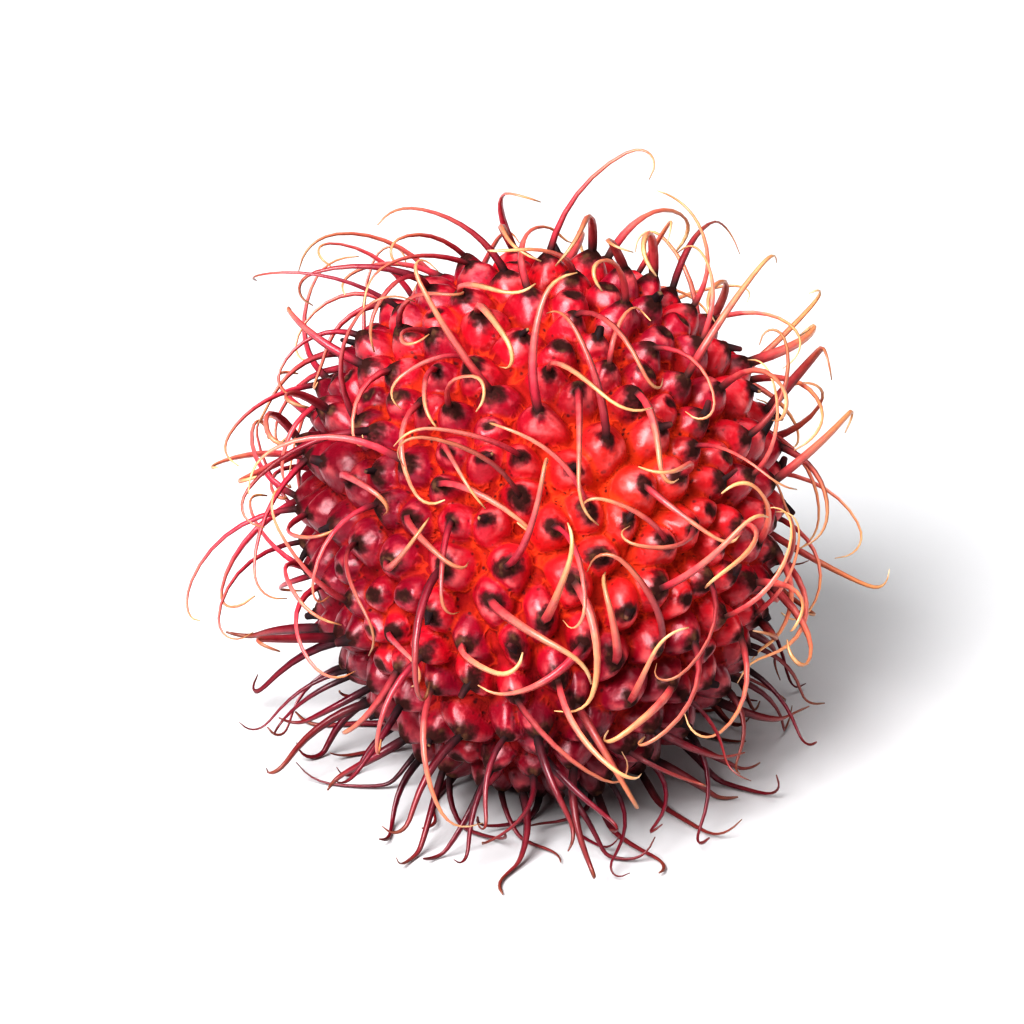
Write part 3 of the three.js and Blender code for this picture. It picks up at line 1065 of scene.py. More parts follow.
@dataclass(frozen=True)
class SpinternFinish(Finish):
    """Soft hair: near black at the root, crimson, then salmon and cream to the hooked tip."""

    roughness: Span = (0.30, 0.44)
    dry_roughness: float = 0.45
    coat: float = 0.25
    coat_roughness: float = 0.25
    wrinkles: Wrinkles = Wrinkles(2200.0, 0.2)
    streaks: Mottle = Mottle(900.0, 3.0, 0.3, 0.7)
    drift: float = 0.18
    drift_from: Span = (0.02, 0.3)
    fresh_from: Span = (0.10, 0.24)
    golden: Ramp = (
        (0.0, (0.030, 0.012, 0.010)),
        (0.035, (0.070, 0.020, 0.017)),
        (0.11, (0.48, 0.055, 0.062)),
        (0.30, (0.68, 0.170, 0.135)),
        (0.58, (0.72, 0.270, 0.130)),
        (0.85, (0.74, 0.390, 0.175)),
        (0.99, (0.80, 0.540, 0.310)),
    )
    pink: Ramp = (
        (0.0, (0.024, 0.009, 0.009)),
        (0.045, (0.060, 0.012, 0.015)),
        (0.13, (0.36, 0.014, 0.040)),
        (0.38, (0.48, 0.052, 0.074)),
        (0.66, (0.58, 0.140, 0.120)),
        (0.88, (0.58, 0.230, 0.110)),
        (0.99, (0.60, 0.340, 0.160)),
    )
    dark: Ramp = (
        (0.0, (0.010, 0.004, 0.005)),
        (0.12, (0.022, 0.003, 0.007)),
        (0.36, (0.110, 0.003, 0.015)),
        (0.72, (0.170, 0.006, 0.018)),
        (0.99, (0.110, 0.014, 0.012)),
    )
    core: Colour = (0.38, 0.22, 0.11)

    def material(self) -> bpy.types.Material:
        """Colours the hair along its length, by how warm and how dark it is.

        Returns:
            The material.
        """
        material, shader = self.begin()
        streak = self.streaks.mask(shader)
        along = shader.mark(Mark.ALONG)
        drift = shader.times(shader.rise(along, *self.drift_from), self.drift)
        along = shader.plus(along, shader.times(shader.centred(streak), drift))
        pink, golden, dark = (shader.ramp(along, ramp) for ramp in (self.pink, self.golden, self.dark))
        colour = shader.mix(shader.mark(Mark.WARM), pink, golden)
        # The shade mark darkens random and broken hairs, and low ones as painted shade.
        colour = shader.mix(shader.mark(Mark.SHADE), colour, dark)
        colour = shader.mix(shader.mark(Mark.CORE), colour, self.core)
        fresh = shader.rise(along, *self.fresh_from)
        dry = shader.span(fresh, self.dry_roughness, 0.0)
        roughness = shader.plus(shader.span(streak, *self.roughness), dry)
        gloss = shader.span(fresh, 0.0, self.coat)
        self.end(shader, colour, roughness, self.wrinkles.height(shader), gloss)
        return material


@dataclass(frozen=True)
class WoodyFinish(Finish):
    """Dry wood of the stalk scar: fibres running out from its middle, dark cracks, painted shade in
    hollows.
    """

    specular: float = 0.2
    bump: float = 0.7
    bump_depth: float = 0.0004
    roughness: Span = (0.75, 0.95)
    wrinkles: Wrinkles = Wrinkles(1400.0, 1.0)
    grain: Mottle = Mottle(1500.0, 5.0, 0.3, 0.7)
    cracks: Mottle = Mottle(1100.0, 6.0, 0.56, 0.66)
    fibre_edge: Span = (-0.35, 0.45)
    least_tan: float = 0.35
    cracked: float = 0.7
    brown: Colour = (0.20, 0.085, 0.032)
    tan: Colour = (0.42, 0.23, 0.105)
    # Dark colour of the cracks, and of the painted shade in the hollows.
    dark: Colour = (0.035, 0.014, 0.008)

    def material(self) -> bpy.types.Material:
        """Streaks the wood along its fibres, darkens its cracks, and paints shade in its hollows.

        Returns:
            The material.
        """
        material, shader = self.begin()
        fibre = shader.rise(shader.mark(Mark.FIBRE), *self.fibre_edge)
        grain = self.grain.mask(shader)
        share = shader.times(fibre, shader.span(grain, self.least_tan, 1.0))
        colour = shader.mix(share, self.brown, self.tan)
        crack = shader.times(self.cracks.mask(shader), self.cracked)
        # Cracks are dark; the hollows get painted shade.
        colour = shader.mix(shader.most(shader.mark(Mark.HOLLOW), crack), colour, self.dark)
        height = shader.plus(self.wrinkles.height(shader), fibre)
        self.end(shader, colour, shader.span(grain, *self.roughness), height)
        return material


@dataclass(frozen=True)
class FloorFinish(Finish):
    """The pale floor, with a faint veil."""

    colour: Colour = (0.62, 0.62, 0.63)
    roughness: float = 0.6
    veil: Mottle = Mottle(4.0, 2.0, 0.3, 0.7)
    veiled: float = 0.97

    def material(self) -> bpy.types.Material:
        """Lays the veil over the colour.

        Returns:
            The material.
        """
        material, shader = self.begin()
        veil = self.veil.mask(shader)
        colour = shader.mix(veil, self.colour, tuple(self.veiled * part for part in self.colour))
        self.end(shader, colour, self.roughness, veil)
        return material


@dataclass(frozen=True)
class RindTones:
    """Where the rind is orange, and where painted shade darkens it, by the place on the fruit."""

    cloud_size: float = 14.0
    cloud_edge: Span = (0.25, 0.75)
    cloud_share: float = 0.15
    patch_centre: Place = (10.0, -9.5, 30.0)
    patch_radii: Place = (8.5, 10.0, 8.0)
    patch_share: float = 0.75
    # Where the painted shade falls: the left side and the underside of the fruit.
    middle: Place = (0.0, 0.0, 22.0)
    left: Place = (-0.8, 0.22, -0.5)
    left_reach: float = 20.0
    under: float = 21.0
    under_reach: float = 18.0
    shade_cloud_size: float = 11.0
    shade_cloud_share: float = 0.35
    shade_edge: Span = (0.0, 0.82)

    def orange(self, points: np.ndarray) -> np.ndarray:
        """Gives the orange flush: soft clouds, and one broad patch on the right of the front.

        Args:
            points: Places on the rind.

        Returns:
            How orange each is.
        """
        clouds = smoothstep(smooth_noise(points, self.cloud_size, 2), *self.cloud_edge)
        patch = bell(np.linalg.norm((points - self.patch_centre) / self.patch_radii, axis=1), 1.0)
        return np.clip(self.cloud_share * clouds + self.patch_share * patch, 0, 1)

    def deep(self, points: np.ndarray) -> np.ndarray:
        """Gives the painted shade that darkens the left and the underside, with a cloudy edge.

        Args:
            points: Places on the rind.

        Returns:
            How much painted shade each has.
        """
        # Painted shade, strongest on the left and under the fruit.
        left = (points - self.middle) @ unit(np.array(self.left)) / self.left_reach
        under = (self.under - points[:, 2]) / self.under_reach
        clouds = self.shade_cloud_share * smooth_noise(points, self.shade_cloud_size, 3)
        return smoothstep(np.maximum(left, under) + clouds, *self.shade_edge)


@dataclass
class Rind:
    """The skin of the fruit: cushions of tubercles over the body, and a dimple round the stalk scar."""

    tubercles: Tubercles
    paths: Paths
    finish: RindFinish = RindFinish("scarlet_rind")
    tones: RindTones = RindTones()
    name: str = "rind_skin"
    coarse_cuts: int = 7
    fine_cuts: int = 15
    rows_at_once: int = 16384
    neighbours: int = 6

    foot: float = 0.59
    foot_by_size: Span = (0.55, 0.45)
    widest: float = 2.8
    fall: float = 2.2
    groove: float = 0.16
    blend: float = 4.0
    undercut: float = 0.5
    crease: float = 0.3
    crease_reach: float = 0.34
    crease_relief: float = 0.9
    warp: float = 0.5
    warp_size: float = 3.4
    warp_shifts: tuple[float, ...] = (0.0, 40.0, 80.0)
    ridges: Span = (0.8, 1.45)
    ridged_from: Span = (0.45, 0.95)
    pole_guard: float = 1e-6

    lean_steps: int = 3
    collar: float = 0.4
    collar_reach: float = 0.72
    collar_ahead: float = 0.1
    crater: float = 0.3
    crater_reach: float = 0.5
    crater_wall: float = 0.6
    spot_half: Span = (1.3, 0.92)
    spot_ahead: float = 0.14
    spot_size: Span = (0.7, 1.2)
    spot_edge: Span = (0.35, 1.35)

    dimple: float = 0.5
    dimple_reach: float = 3.6
    puckers: float = 0.45
    pucker_rays: float = 3.2
    pucker_run: float = 0.12
    puckered_from: Span = (1.8, 3.4)
    pitting: float = 0.07
    pitting_size: float = 0.8
    pitting_floor: float = 1.2
    bare_relief: float = 0.5
    bare_darkening: float = 0.8
    far: float = 100.0

    def build(self) -> bpy.types.Object:
        """Models the skin from a cube whose sides are cut evenly by angle, and dresses it.

        Returns:
            The skin.
        """
        Ops.clear_selection()
        bpy.ops.mesh.primitive_cube_add(size=2)
        skin = bpy.context.object
        skin.name = skin.data.name = self.name
        bpy.ops.object.mode_set(mode="EDIT")
        bpy.ops.mesh.select_all(action="SELECT")
        bpy.ops.mesh.subdivide(number_cuts=self.coarse_cuts)
        bpy.ops.mesh.subdivide(number_cuts=self.fine_cuts)
        bpy.ops.object.mode_set(mode="OBJECT")
        directions = unit(np.tan(points_of(skin.data) * math.pi / 4))
        self.sculpt(skin.data, directions)
        bpy.ops.object.shade_smooth()
        skin.data.materials.append(self.finish.material())
        return skin

    def sculpt(self, mesh: bpy.types.Mesh, directions: np.ndarray) -> None:
        """Raises the tubercles and stores what the finish reads.

        Args:
            mesh: The skin's mesh.
            directions: A unit direction for each of its points, in the body's own frame.
        """
        body, tubercles = self.tubercles.body, self.tubercles
        smooth = body.point(directions, 0)
        feet = body.point(tubercles.directions, 0)
        near = self.nearest(smooth, feet)
        owner = near[:, 0]
        drift = self.drift(smooth)[:, None] - self.drift(feet)[near]
        distances = self.stretched(smooth[:, None] - feet[near] + drift, directions[:, None])
        inward = 1 - (distances / self.feet_radii(feet)[near]) ** self.fall
        domes = ((inward + np.hypot(inward, self.groove)) / 2) ** self.blend
        cushion = np.sum(domes, axis=1) ** (1 / self.blend)
        shares = domes / np.sum(domes, axis=1, keepdims=True)
        grown = np.sum(shares * tubercles.grown[near], axis=1)
        crease = self.creases(distances)
        ahead, aside = self.from_roots(tubercles.posed(smooth), owner)
        collar = self.collars(ahead, aside, owner)
        from_stalk = np.where(directions[:, 2] > 0, np.hypot(smooth[:, 0], smooth[:, 1]), np.inf)
        dimple = self.dimple * bell(from_stalk, self.dimple_reach)
        puckers = self.puckers * self.puckering(smooth, from_stalk) * (1 - grown)
        pits = smooth_noise(smooth, self.pitting_size, 3)
        pitting = self.pitting * pits * (self.pitting_floor - np.minimum(cushion, 1))
        swell = cushion * (1 + self.undercut) - self.undercut
        height = np.sum(shares * tubercles.heights[near], axis=1) * swell
        height += collar - dimple + puckers + pitting - self.crease * crease * grown
        points = tubercles.posed(body.point(directions, height))
        points[:, 2] = np.maximum(points[:, 2], 0)
        put_points(mesh, points)
        relief = np.clip(cushion, self.bare_relief * (1 - grown), 1)
        marks = {
            Mark.RELIEF: relief * (1 - self.crease_relief * crease * grown),
            Mark.SPOT: self.spots(ahead, aside, owner) * tubercles.grown[owner],
            Mark.TONE: np.sum(shares * draw(near, Draw.RIPENESS) ** 2, axis=1),
            Mark.ORANGE: self.tones.orange(points),
            # Painted shade of the left and the underside; the bare skin round the stalk scar is darkened
            # through it too.
            Mark.DEEP: np.maximum(self.tones.deep(points), self.bare_darkening * (1 - grown)),
        }
        put_marks(mesh, marks)

    def nearest(self, points: np.ndarray, feet: np.ndarray) -> np.ndarray:
        """Finds the tubercles nearest each point.

        Args:
            points: Points near the smooth body, in its own frame.
            feet: The tubercles' own places there.

        Returns:
            A row of tubercle numbers for each point, the nearest first.
        """
        found = []
        for start in range(0, len(points), self.rows_at_once):
            rows = points[start : start + self.rows_at_once]
            squares = (feet**2).sum(1) - 2 * rows @ feet.T
            order = np.argpartition(squares, self.neighbours, axis=1)[:, : self.neighbours]
            by_distance = np.argsort(np.take_along_axis(squares, order, axis=1), axis=1)
            found.append(np.take_along_axis(order, by_distance, axis=1))
        return np.vstack(found)

    def drift(self, points: np.ndarray) -> np.ndarray:
        """Gives the drift that makes the outlines of the tubercles uneven."""
        drifts = [smooth_noise(points + shift, self.warp_size, 2) for shift in self.warp_shifts]
        return self.warp * np.stack(drifts, axis=-1)

    def feet_radii(self, feet: np.ndarray) -> np.ndarray:
        """Works out how far each tubercle's foot reaches, from how close its neighbours stand.

        Args:
            feet: The tubercles' places on the smooth body.

        Returns:
            The reach of each foot.
        """
        apart = np.sort(np.linalg.norm(feet[:, None] - feet[None], axis=-1), axis=1)
        spacing = np.mean(apart[:, 1 : self.neighbours], axis=1)
        by_size = self.foot_by_size[0] + self.foot_by_size[1] * self.tubercles.size
        return np.minimum(self.foot * spacing * by_size, self.widest)

    def stretched(self, offsets: np.ndarray, directions: np.ndarray) -> np.ndarray:
        """Measures distances, and draws the tubercles of the apex out into ridges that run towards it.

        Args:
            offsets: From each point's tubercles to the point.
            directions: The points' directions.

        Returns:
            The distances, less along the fruit and more across it near the apex.
        """
        across = np.cross(directions, UP)
        across /= np.linalg.norm(across, axis=-1, keepdims=True) + self.pole_guard
        aside = np.sum(offsets * across, axis=-1)
        along = np.sqrt(np.maximum(np.sum(offsets**2, axis=-1) - aside**2, 0))
        ridge = np.hypot(along * self.ridges[0], aside * self.ridges[1])
        ridged = smoothstep(-directions[..., 2], *self.ridged_from)
        return np.hypot(along, aside) * (1 - ridged) + ridge * ridged

    def creases(self, distances: np.ndarray) -> np.ndarray:
        """Draws the creases midway between each two tubercles.

        Args:
            distances: From each point to the tubercles near it.

        Returns:
            How deep in a crease each point is, up to 1.
        """
        by_distance = np.sort(distances, axis=1)
        from_middle = (by_distance[:, 1] - by_distance[:, 0]) / 2
        return bell(from_middle, self.crease_reach)

    def from_roots(self, points: np.ndarray, owner: np.ndarray) -> tuple[np.ndarray, np.ndarray]:
        """Measures how far points lie from their tubercle's foot.

        Args:
            points: Points of the smooth body, in the part's frame.
            owner: The tubercle that each belongs to.

        Returns:
            The way along the lean of the hair there, and the way across it.
        """
        feet = self.tubercles.posed(self.tubercles.body.point(self.tubercles.directions, 0))
        leans = np.tile([1.0, 0.0, 0.0], (len(feet), 1))
        for number, path in self.paths.items():
            leans[number] = path[self.lean_steps] - path[0]
        leans -= self.tubercles.normals * np.sum(leans * self.tubercles.normals, axis=1, keepdims=True)
        leans = unit(leans)
        sides = np.cross(self.tubercles.normals, leans)
        offset = points - feet[owner]
        return np.sum(offset * leans[owner], axis=1), np.sum(offset * sides[owner], axis=1)

    def collars(self, ahead: np.ndarray, aside: np.ndarray, owner: np.ndarray) -> np.ndarray:
        """Raises a collar round each hair's root, and leaves a crater where a hair is lost.

        Args:
            ahead: How far each point is from its root along the hair's lean.
            aside: How far it is across the lean.
            owner: The tubercle that it belongs to.

        Returns:
            The height of each point, under zero in a crater.
        """
        bearing = np.zeros(len(self.tubercles.index))
        bearing[list(self.paths)] = 1
        from_root = np.hypot(ahead - self.collar_ahead, aside)
        raised = self.collar * (bearing * self.tubercles.size)[owner] * bell(from_root, self.collar_reach)
        lost = (1 - bearing)[owner] * self.tubercles.grown[owner]
        wall = self.crater_wall * bell(from_root - 2 * self.crater_reach, self.crater_reach)
        return raised - lost * self.crater * (bell(from_root, self.crater_reach) - wall)

    def spots(self, ahead: np.ndarray, aside: np.ndarray, owner: np.ndarray) -> np.ndarray:
        """Gives the dark blotch on each tubercle, drawn out along the lean of its hair.

        Args:
            ahead: How far each point is from its root along the hair's lean.
            aside: How far it is across the lean.
            owner: The tubercle that it belongs to.

        Returns:
            How dark each point is.
        """
        size = between(self.spot_size, draw(self.tubercles.index, Draw.SPOT_SIZE)) * self.tubercles.size
        forward = (ahead - self.spot_ahead) / self.spot_half[0]
        distance = np.hypot(forward, aside / self.spot_half[1]) / size[owner]
        return 1 - smoothstep(distance, *self.spot_edge)

    def puckering(self, points: np.ndarray, from_stalk: np.ndarray) -> np.ndarray:
        """Gives the wrinkles that run out over the bare skin from the stalk scar.

        Args:
            points: Points of the smooth body, in its own frame.
            from_stalk: How far each is from the stalk's axis.

        Returns:
            The wrinkles' height, about -1 to 1.
        """
        across = np.minimum(from_stalk, self.far)[:, None]
        rays = np.hstack([points[:, :2] / across * self.pucker_rays, self.pucker_run * across])
        return smooth_noise(rays, 1.0, 3) * smoothstep(from_stalk, *self.puckered_from)


@dataclass
class HairCoat:
    """All the hairs of the fruit, copied from one template and bent along their paths."""

    spinterns: Spinterns
    paths: Paths
    finish: SpinternFinish = SpinternFinish("hair")
    name: str = "spinterns"
    sides: int = 4
    rings: int = 16
    evenness: float = 2.2
    fine_stations: int = 97
    relaxing: int = 4

    slimmer: float = 0.88
    spread: float = 0.2
    end_taper: float = 0.4
    tip: float = 0.6
    thickness: float = 0.62
    round_steps: float = 3.0
    root_sink: float = 0.75
    root_share: Span = (0.76, 2.5)
    stub_reach: float = 2.3
    stub_share: Span = (1.1, 0.6)
    stub_top: float = 0.55
    withered: float = 0.4

    dark_by_draw: float = 0.7
    # Darkening of the hairs low under the fruit is painted shade.
    painted_shade_if_low: float = 0.85
    dark_if_broken: float = 0.8
    warmth: float = 0.38
    warmer_right: float = 0.55
    warmth_spread: float = 0.5

    def build(self) -> bpy.types.Object:
        """Copies the template to every path, dresses it and joins the lot.

        Returns:
            The coat.
        """
        template = self.template()
        straight = points_of(template.data)
        copies = []
        for number, path in self.paths.items():
            copy = template.copy()
            copy.data = template.data.copy()
            bpy.context.scene.collection.objects.link(copy)
            self.bend(copy.data, straight, number, self.relaxed(path))
            copies.append(copy)
        bpy.data.objects.remove(template)
        coat = Ops.join(copies, self.name)
        coat.data.materials.append(self.finish.material())
        return coat

    def template(self) -> bpy.types.Object:
        """Models one hair, straight, of radius 1, with its rings evenly from 0 to 1 up +Z.

        Returns:
            The hair.
        """
        Ops.clear_selection()
        bpy.ops.mesh.primitive_cylinder_add(vertices=self.sides, radius=1, depth=1, location=(0, 0, 0.5))
        hair = bpy.context.object
        bpy.ops.object.transform_apply(location=True, rotation=True, scale=True)
        levels = np.rint(points_of(hair.data)[:, 2])
        Ops.edit_only(hair, Element.EDGE, lambda edge: levels[edge.vertices[0]] != levels[edge.vertices[1]])
        bpy.ops.mesh.subdivide(number_cuts=self.rings - 2)
        bpy.ops.object.mode_set(mode="OBJECT")
        bpy.ops.object.shade_smooth()
        return hair

    def relaxed(self, path: np.ndarray) -> np.ndarray:
        """Rounds a path where it meets the surface that the fruit lies on, and keeps its root and tip.

        Args:
            path: The hair's centreline.

        Returns:
            The rounded one.
        """
        eased = path.copy()
        for _ in range(self.relaxing):
            eased[2:-1] = (eased[1:-2] + 2 * eased[2:-1] + eased[3:]) / 4
        return eased

    def bend(self, mesh: bpy.types.Mesh, straight: np.ndarray, number: int, path: np.ndarray) -> None:
        """Bends one copy along its path and stores what the finish reads.

        Args:
            mesh: The copy's mesh.
            straight: The template's points.
            number: The tubercle that the hair stands on.
            path: Its centreline.
        """
        tubercles = self.spinterns.tubercles
        broken = len(path) <= self.spinterns.steps
        stations = self.stations(path, self.stub_reach if broken else self.spinterns.steps)
        centres = self.centres(path, stations)
        centres[0] -= tubercles.normals[number] * self.root_sink
        along = unit(np.gradient(centres, axis=0))
        if broken:
            along[-2:] = along[-3]
        wide = self.widths(stations, broken) * tubercles.size[number]
        wide *= 1 + either(self.spread, draw(number, Draw.WIDTH))
        right = self.transport(along)
        up = np.cross(along, right)
        ring = np.rint(straight[:, 2] * (len(stations) - 1)).astype(int)
        across = straight[:, :2] * wide[ring][:, None]
        thick = self.thicknesses(stations)[ring][:, None]
        points = centres[ring] + right[ring] * across[:, :1] + up[ring] * (across[:, 1:] * thick)
        points[:, 2] = np.maximum(points[:, 2], 0)
        put_points(mesh, points)
        shade, warm, core = self.tones(number, path[:1], broken)
        marks = {
            Mark.ALONG: np.clip(stations[ring] / self.spinterns.steps, 0, 1),
            Mark.SHADE: np.full(len(points), shade),
            Mark.WARM: np.full(len(points), warm),
            Mark.CORE: np.where(ring == len(stations) - 1, core, 0.0),
        }
        put_marks(mesh, marks)

    def tones(self, number: int, root: np.ndarray, broken: bool) -> tuple[float, float, float]:
        """Draws one hair's tones: dark if broken, painted shade if low, and warm on the right.

        Args:
            number: The tubercle that the hair stands on.
            root: Where, as one row.
            broken: Whether it is a stub.

        Returns:
            How dark it is, how warm, and how pale the core of its broken end.
        """
        tubercles = self.spinterns.tubercles
        low = float(self.spinterns.is_low(root, tubercles.normals[number][None])[0])
        dark = draw(number, Draw.SHADE) ** 3 * self.dark_by_draw
        # Hairs low under the fruit are darkened as painted shade.
        shade = np.clip(dark + self.painted_shade_if_low * low + self.dark_if_broken * broken, 0, 1)
        warm = self.warmth + self.warmer_right * root[0, 0] / (tubercles.body.width / 2)
        warm = np.clip(warm + either(self.warmth_spread, draw(number, Draw.WARMTH)), 0, 1)
        return shade, warm, draw(number, Draw.CORE) ** 2 if broken else 0.0

    def stations(self, path: np.ndarray, reach: float) -> np.ndarray:
        """Chooses where the rings stand, in steps of the path: closer together where the hair turns.

        Args:
            path: The hair's centreline.
            reach: Where the last ring stands.

        Returns:
            The place of each ring, with the first one before the root.
        """
        fine = np.linspace(0, reach, self.fine_stations)
        ways = unit(np.diff(self.centres(path, fine), axis=0))
        turns = np.arccos(np.clip(np.sum(ways[1:] * ways[:-1], axis=1), -1, 1))
        turns = np.concatenate([turns[:1], (turns[1:] + turns[:-1]) / 2, turns[-1:]])
        spent = np.concatenate([[0], np.cumsum(turns + self.evenness / len(turns))])
        even = np.linspace(0, spent[-1], self.rings - 1)
        return np.concatenate([[-1], np.interp(even, spent, np.linspace(0, reach, len(spent)))])

    @staticmethod
    def centres(path: np.ndarray, stations: np.ndarray) -> np.ndarray:
        """Places the stations on a smooth curve through the path.

        Args:
            path: The hair's centreline.
            stations: Places along it, in steps.

        Returns:
            A point for each station.
        """
        last = len(path) - 1
        on_path = np.clip(stations, 0, last)
        start = np.minimum(on_path.astype(int), last - 1)
        share = (on_path - start)[:, None]
        before, here, there, after = (path[np.clip(start + k, 0, last)] for k in (-1, 0, 1, 2))
        bow = (2 * before - 5 * here + 4 * there - after) * share**2
        sway = (3 * here - before - 3 * there + after) * share**3
        return here + ((there - before) * share + bow + sway) / 2

    def widths(self, stations: np.ndarray, broken: bool) -> np.ndarray:
        """Tapers the hair from its root to its tip, or to its broken end.

        Args:
            stations: Places along it, in steps of its path.
            broken: Whether it is a stub.

        Returns:
            The half width at each station.
        """
        share = stations / self.spinterns.steps
        hook_from = self.spinterns.hook_from
        taper = 1 - (1 - self.spinterns.tip_share) * np.clip(share / hook_from, 0, 1)
        taper *= 1 - self.end_taper * smoothstep(share, hook_from, 1)
        foot, reach = self.stub_share if broken else self.root_share
        flare = 1 + (foot - 1) * np.exp(-np.maximum(stations, 0) / reach)
        wide = self.spinterns.radius * self.slimmer * taper * flare
        if broken:
            wide *= 1 - self.withered * stations / self.spinterns.stub_steps
        wide[-1] *= self.stub_top if broken else self.tip
        return wide

    def thicknesses(self, stations: np.ndarray) -> np.ndarray:
        """Gives the share of the width that the hair is thick: round at the root, a strap further on."""
        return self.thickness + (1 - self.thickness) * np.exp(-np.maximum(stations, 0) / self.round_steps)

    @staticmethod
    def transport(along: np.ndarray) -> np.ndarray:
        """Carries a side direction along the hair without twist.

        Args:
            along: The hair's direction at each ring.

        Returns:
            The side direction at each ring.
        """
        start = np.cross(along[0], along[len(along) // 2])
        right = [unit(start)]
        for direction in along[1:]:
            carried = right[-1] - direction * np.dot(right[-1], direction)
            right.append(unit(carried))
        return np.array(right)


@dataclass(frozen=True)
class Knob:
    """A round knob, raised and drawn in step by step from a flat foot."""

    corners: int
    radius: float
    offset: float
    rises: tuple[Span, ...]
    foot_thickness: float = 0.2
    facing_up: float = 0.9

    def model(self, foot: float) -> bpy.types.Object:
        """Extrudes the knob's top face and scales it, once for each rise.

        Each rise is the new radius as a share of the one before, or 0 to keep it, and the height.

        Args:
            foot: Height of its underside in the body's own frame.

        Returns:
            The knob.
        """
        Ops.clear_selection()
        middle = (self.offset, 0, foot + self.foot_thickness / 2)
        bpy.ops.mesh.primitive_cylinder_add(
            vertices=self.corners, radius=self.radius, depth=self.foot_thickness, location=middle
        )
        knob = bpy.context.object
        bpy.ops.object.transform_apply(location=True, rotation=True, scale=True)
        Ops.edit_only(knob, Element.FACE, lambda face: face.normal.z > self.facing_up)
        for share, rise in self.rises:
            bpy.ops.mesh.extrude_region_move(TRANSFORM_OT_translate={"value": (0, 0, rise)})
            if share:
                bpy.ops.transform.resize(value=(share, share, 1), center_override=(self.offset, 0, 0))
        bpy.ops.object.mode_set(mode="OBJECT")
        return knob


@dataclass
class StalkScar:
    """The woody ring where the stalk was cut, its stub, and the dried second carpel beside it."""

    tubercles: Tubercles
    finish: WoodyFinish = WoodyFinish("dry_wood")
    name: str = "stalk_scar_wood"
    ring: Knob = Knob(24, 2.4, 0.0, ((0.0, 1.7), (0.75, -0.35), (0.5, -0.15), (0.28, 0.9)))
    carpel: Knob = Knob(20, 1.6, 3.3, ((0.0, 1.4), (0.8, 0.5), (0.5, 0.35)))
    foot: float = 1.3
    voxel: float = 0.11
    smoothings: int = 4
    fibres: float = 2.4
    fibre_run: float = 0.5
    middle_guard: float = 0.05
    ragged: float = 0.2
    ragged_from: float = -0.5
    # Painted shade: the scar darkens where it sinks below the rind.
    hollow_shade_edge: Span = (-0.35, 0.3)
    hollow_shade_by_fibre: float = 0.25

    def build(self) -> bpy.types.Object:
        """Models the scar and the carpel and dresses them.

        Returns:
            The two as one piece.
        """
        rind = self.tubercles.body.length / 2 - self.tubercles.body.relief
        scar = Ops.join([knob.model(rind - self.foot) for knob in (self.ring, self.carpel)], self.name)
        self.round_off(scar)
        points = points_of(scar.data)
        height = points[:, 2] - rind
        on_carpel = points[:, :1] > self.carpel.offset - self.carpel.radius
        axis = np.where(on_carpel, self.carpel.offset, self.ring.offset)
        spokes = points[:, :2] - np.hstack([axis, np.zeros_like(axis)])
        reach = np.linalg.norm(spokes, axis=1)
        ways = spokes / (reach[:, None] + self.middle_guard)
        fibre = smooth_noise(np.column_stack([ways * self.fibres, self.fibre_run * reach]), 1.0, 3)
        points[:, :2] += ways * (self.ragged * fibre)[:, None]
        points[:, 2] += self.ragged * fibre * (height > self.ragged_from)
        put_points(scar.data, self.tubercles.posed(points))
        # Painted shade in the scar's hollows, below the level of the rind.
        hollow = 1 - smoothstep(height + self.hollow_shade_by_fibre * fibre, *self.hollow_shade_edge)
        put_marks(scar.data, {Mark.FIBRE: fibre, Mark.HOLLOW: hollow})
        bpy.ops.object.shade_smooth()
        scar.data.materials.append(self.finish.material())
        return scar

    def round_off(self, scar: bpy.types.Object) -> None:
        """Fuses the two knobs and rounds them.

        Args:
            scar: The joined knobs.
        """
        Ops.select_only(scar)
        fuse = scar.modifiers.new("fuse", "REMESH")
        fuse.mode = "VOXEL"
        fuse.voxel_size = self.voxel
        bpy.ops.object.modifier_apply(modifier=fuse.name)
        smooth = scar.modifiers.new("smooth", "SMOOTH")
        smooth.iterations = self.smoothings
        bpy.ops.object.modifier_apply(modifier=smooth.name)


@dataclass(frozen=True)
class SoftBox:
    """A square soft light."""

    name: str
    place: Place
    size: float
    power: float

    def hang(self, aim: Place) -> None:
        """Hangs the light so that it looks at a point.

        Args:
            aim: The point.
        """
        data = bpy.data.lights.new(self.name, "AREA")
        data.size = self.size
        data.energy = self.power
        light = bpy.data.objects.new(self.name, data)
        light.location = self.place
        light.rotation_euler = (Vector(self.place) - Vector(aim)).to_track_quat("Z", "Y").to_euler()
        bpy.context.scene.collection.objects.link(light)


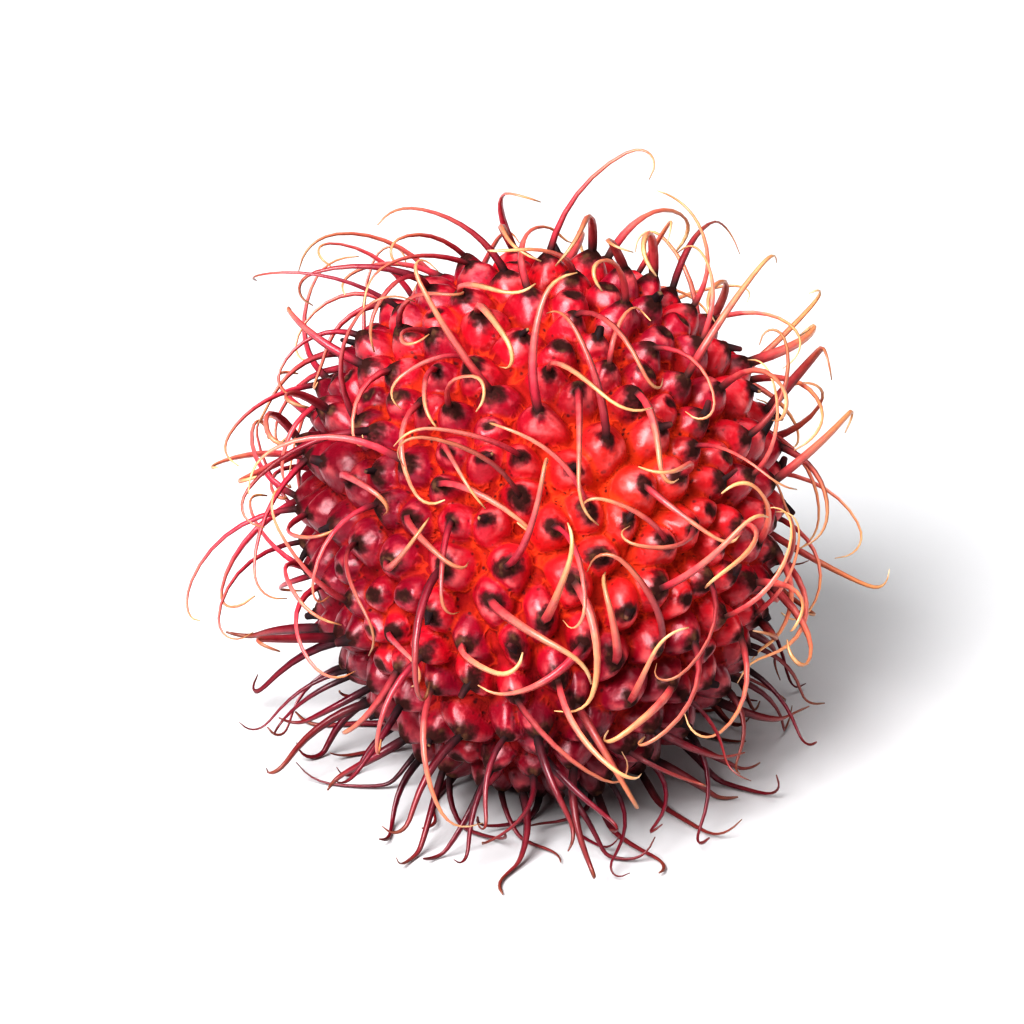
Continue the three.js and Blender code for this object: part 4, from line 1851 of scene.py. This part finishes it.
@dataclass
class Studio:
    """The pale floor, the soft lights and the camera. Its lengths are in metres."""

    aim: Place = (0.0, 0.0, 0.024)
    elevation: float = math.radians(25)
    distance: float = 0.75
    frame_width: float = 0.084
    sensor: float = 36.0
    floor_size: float = 6.0
    lights: tuple[SoftBox, ...] = (
        SoftBox("key_box", (-0.30, -0.40, 0.52), 0.46, 11.0),
        SoftBox("top_box", (0.12, 0.05, 0.62), 0.45, 1.6),
        SoftBox("side_box", (0.55, -0.25, 0.30), 0.30, 0.8),
    )
    ambient: float = 0.03

    def build(self) -> None:
        """Sets the studio up."""
        self.floor()
        self.camera()
        for light in self.lights:
            light.hang(self.aim)
        world = bpy.data.worlds.new("studio")
        world.use_nodes = True
        background = world.node_tree.nodes["Background"]
        background.inputs["Color"].default_value = (1, 1, 1, 1)
        background.inputs["Strength"].default_value = self.ambient
        bpy.context.scene.world = world
        bpy.context.scene.view_settings.view_transform = "Standard"
        bpy.context.scene.view_settings.look = "High Contrast"

    def floor(self) -> None:
        """Lays the floor."""
        Ops.clear_selection()
        bpy.ops.mesh.primitive_plane_add(size=self.floor_size)
        floor = bpy.context.object
        floor.name = "floor"
        floor.data.materials.append(FloorFinish("pale_floor").material())

    def camera(self) -> None:
        """Places the camera in front of the fruit, a little above."""
        data = bpy.data.cameras.new("camera")
        data.sensor_width = self.sensor
        data.lens = self.sensor * self.distance / self.frame_width
        camera = bpy.data.objects.new("camera", data)
        back = Vector((0, -math.cos(self.elevation), math.sin(self.elevation)))
        camera.location = Vector(self.aim) + back * self.distance
        camera.rotation_euler = back.to_track_quat("Z", "Y").to_euler()
        bpy.context.scene.collection.objects.link(camera)
        bpy.context.scene.camera = camera


def mount(piece: bpy.types.Object, node: NodeName) -> None:
    """Puts a finished piece in the place of a solid of the frame.

    Args:
        piece: The piece.
        node: The solid that it stands for.
    """
    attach(piece, "root")
    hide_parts(node.value)
    LOG.info("%s: %d faces", piece.name, len(piece.data.polygons))


def main() -> None:
    """Builds the fruit and its studio, in order."""
    logging.basicConfig(level=logging.INFO, format="%(name)s: %(message)s")
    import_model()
    Studio().build()
    tubercles = Tubercles(Body())
    spinterns = Spinterns(tubercles)
    paths = spinterns.grow()
    mount(Rind(tubercles, paths).build(), NodeName.RIND)
    mount(HairCoat(spinterns, paths).build(), NodeName.RIND)
    mount(StalkScar(tubercles).build(), NodeName.STALK_SCAR)


if __name__ == "__main__":
    main()
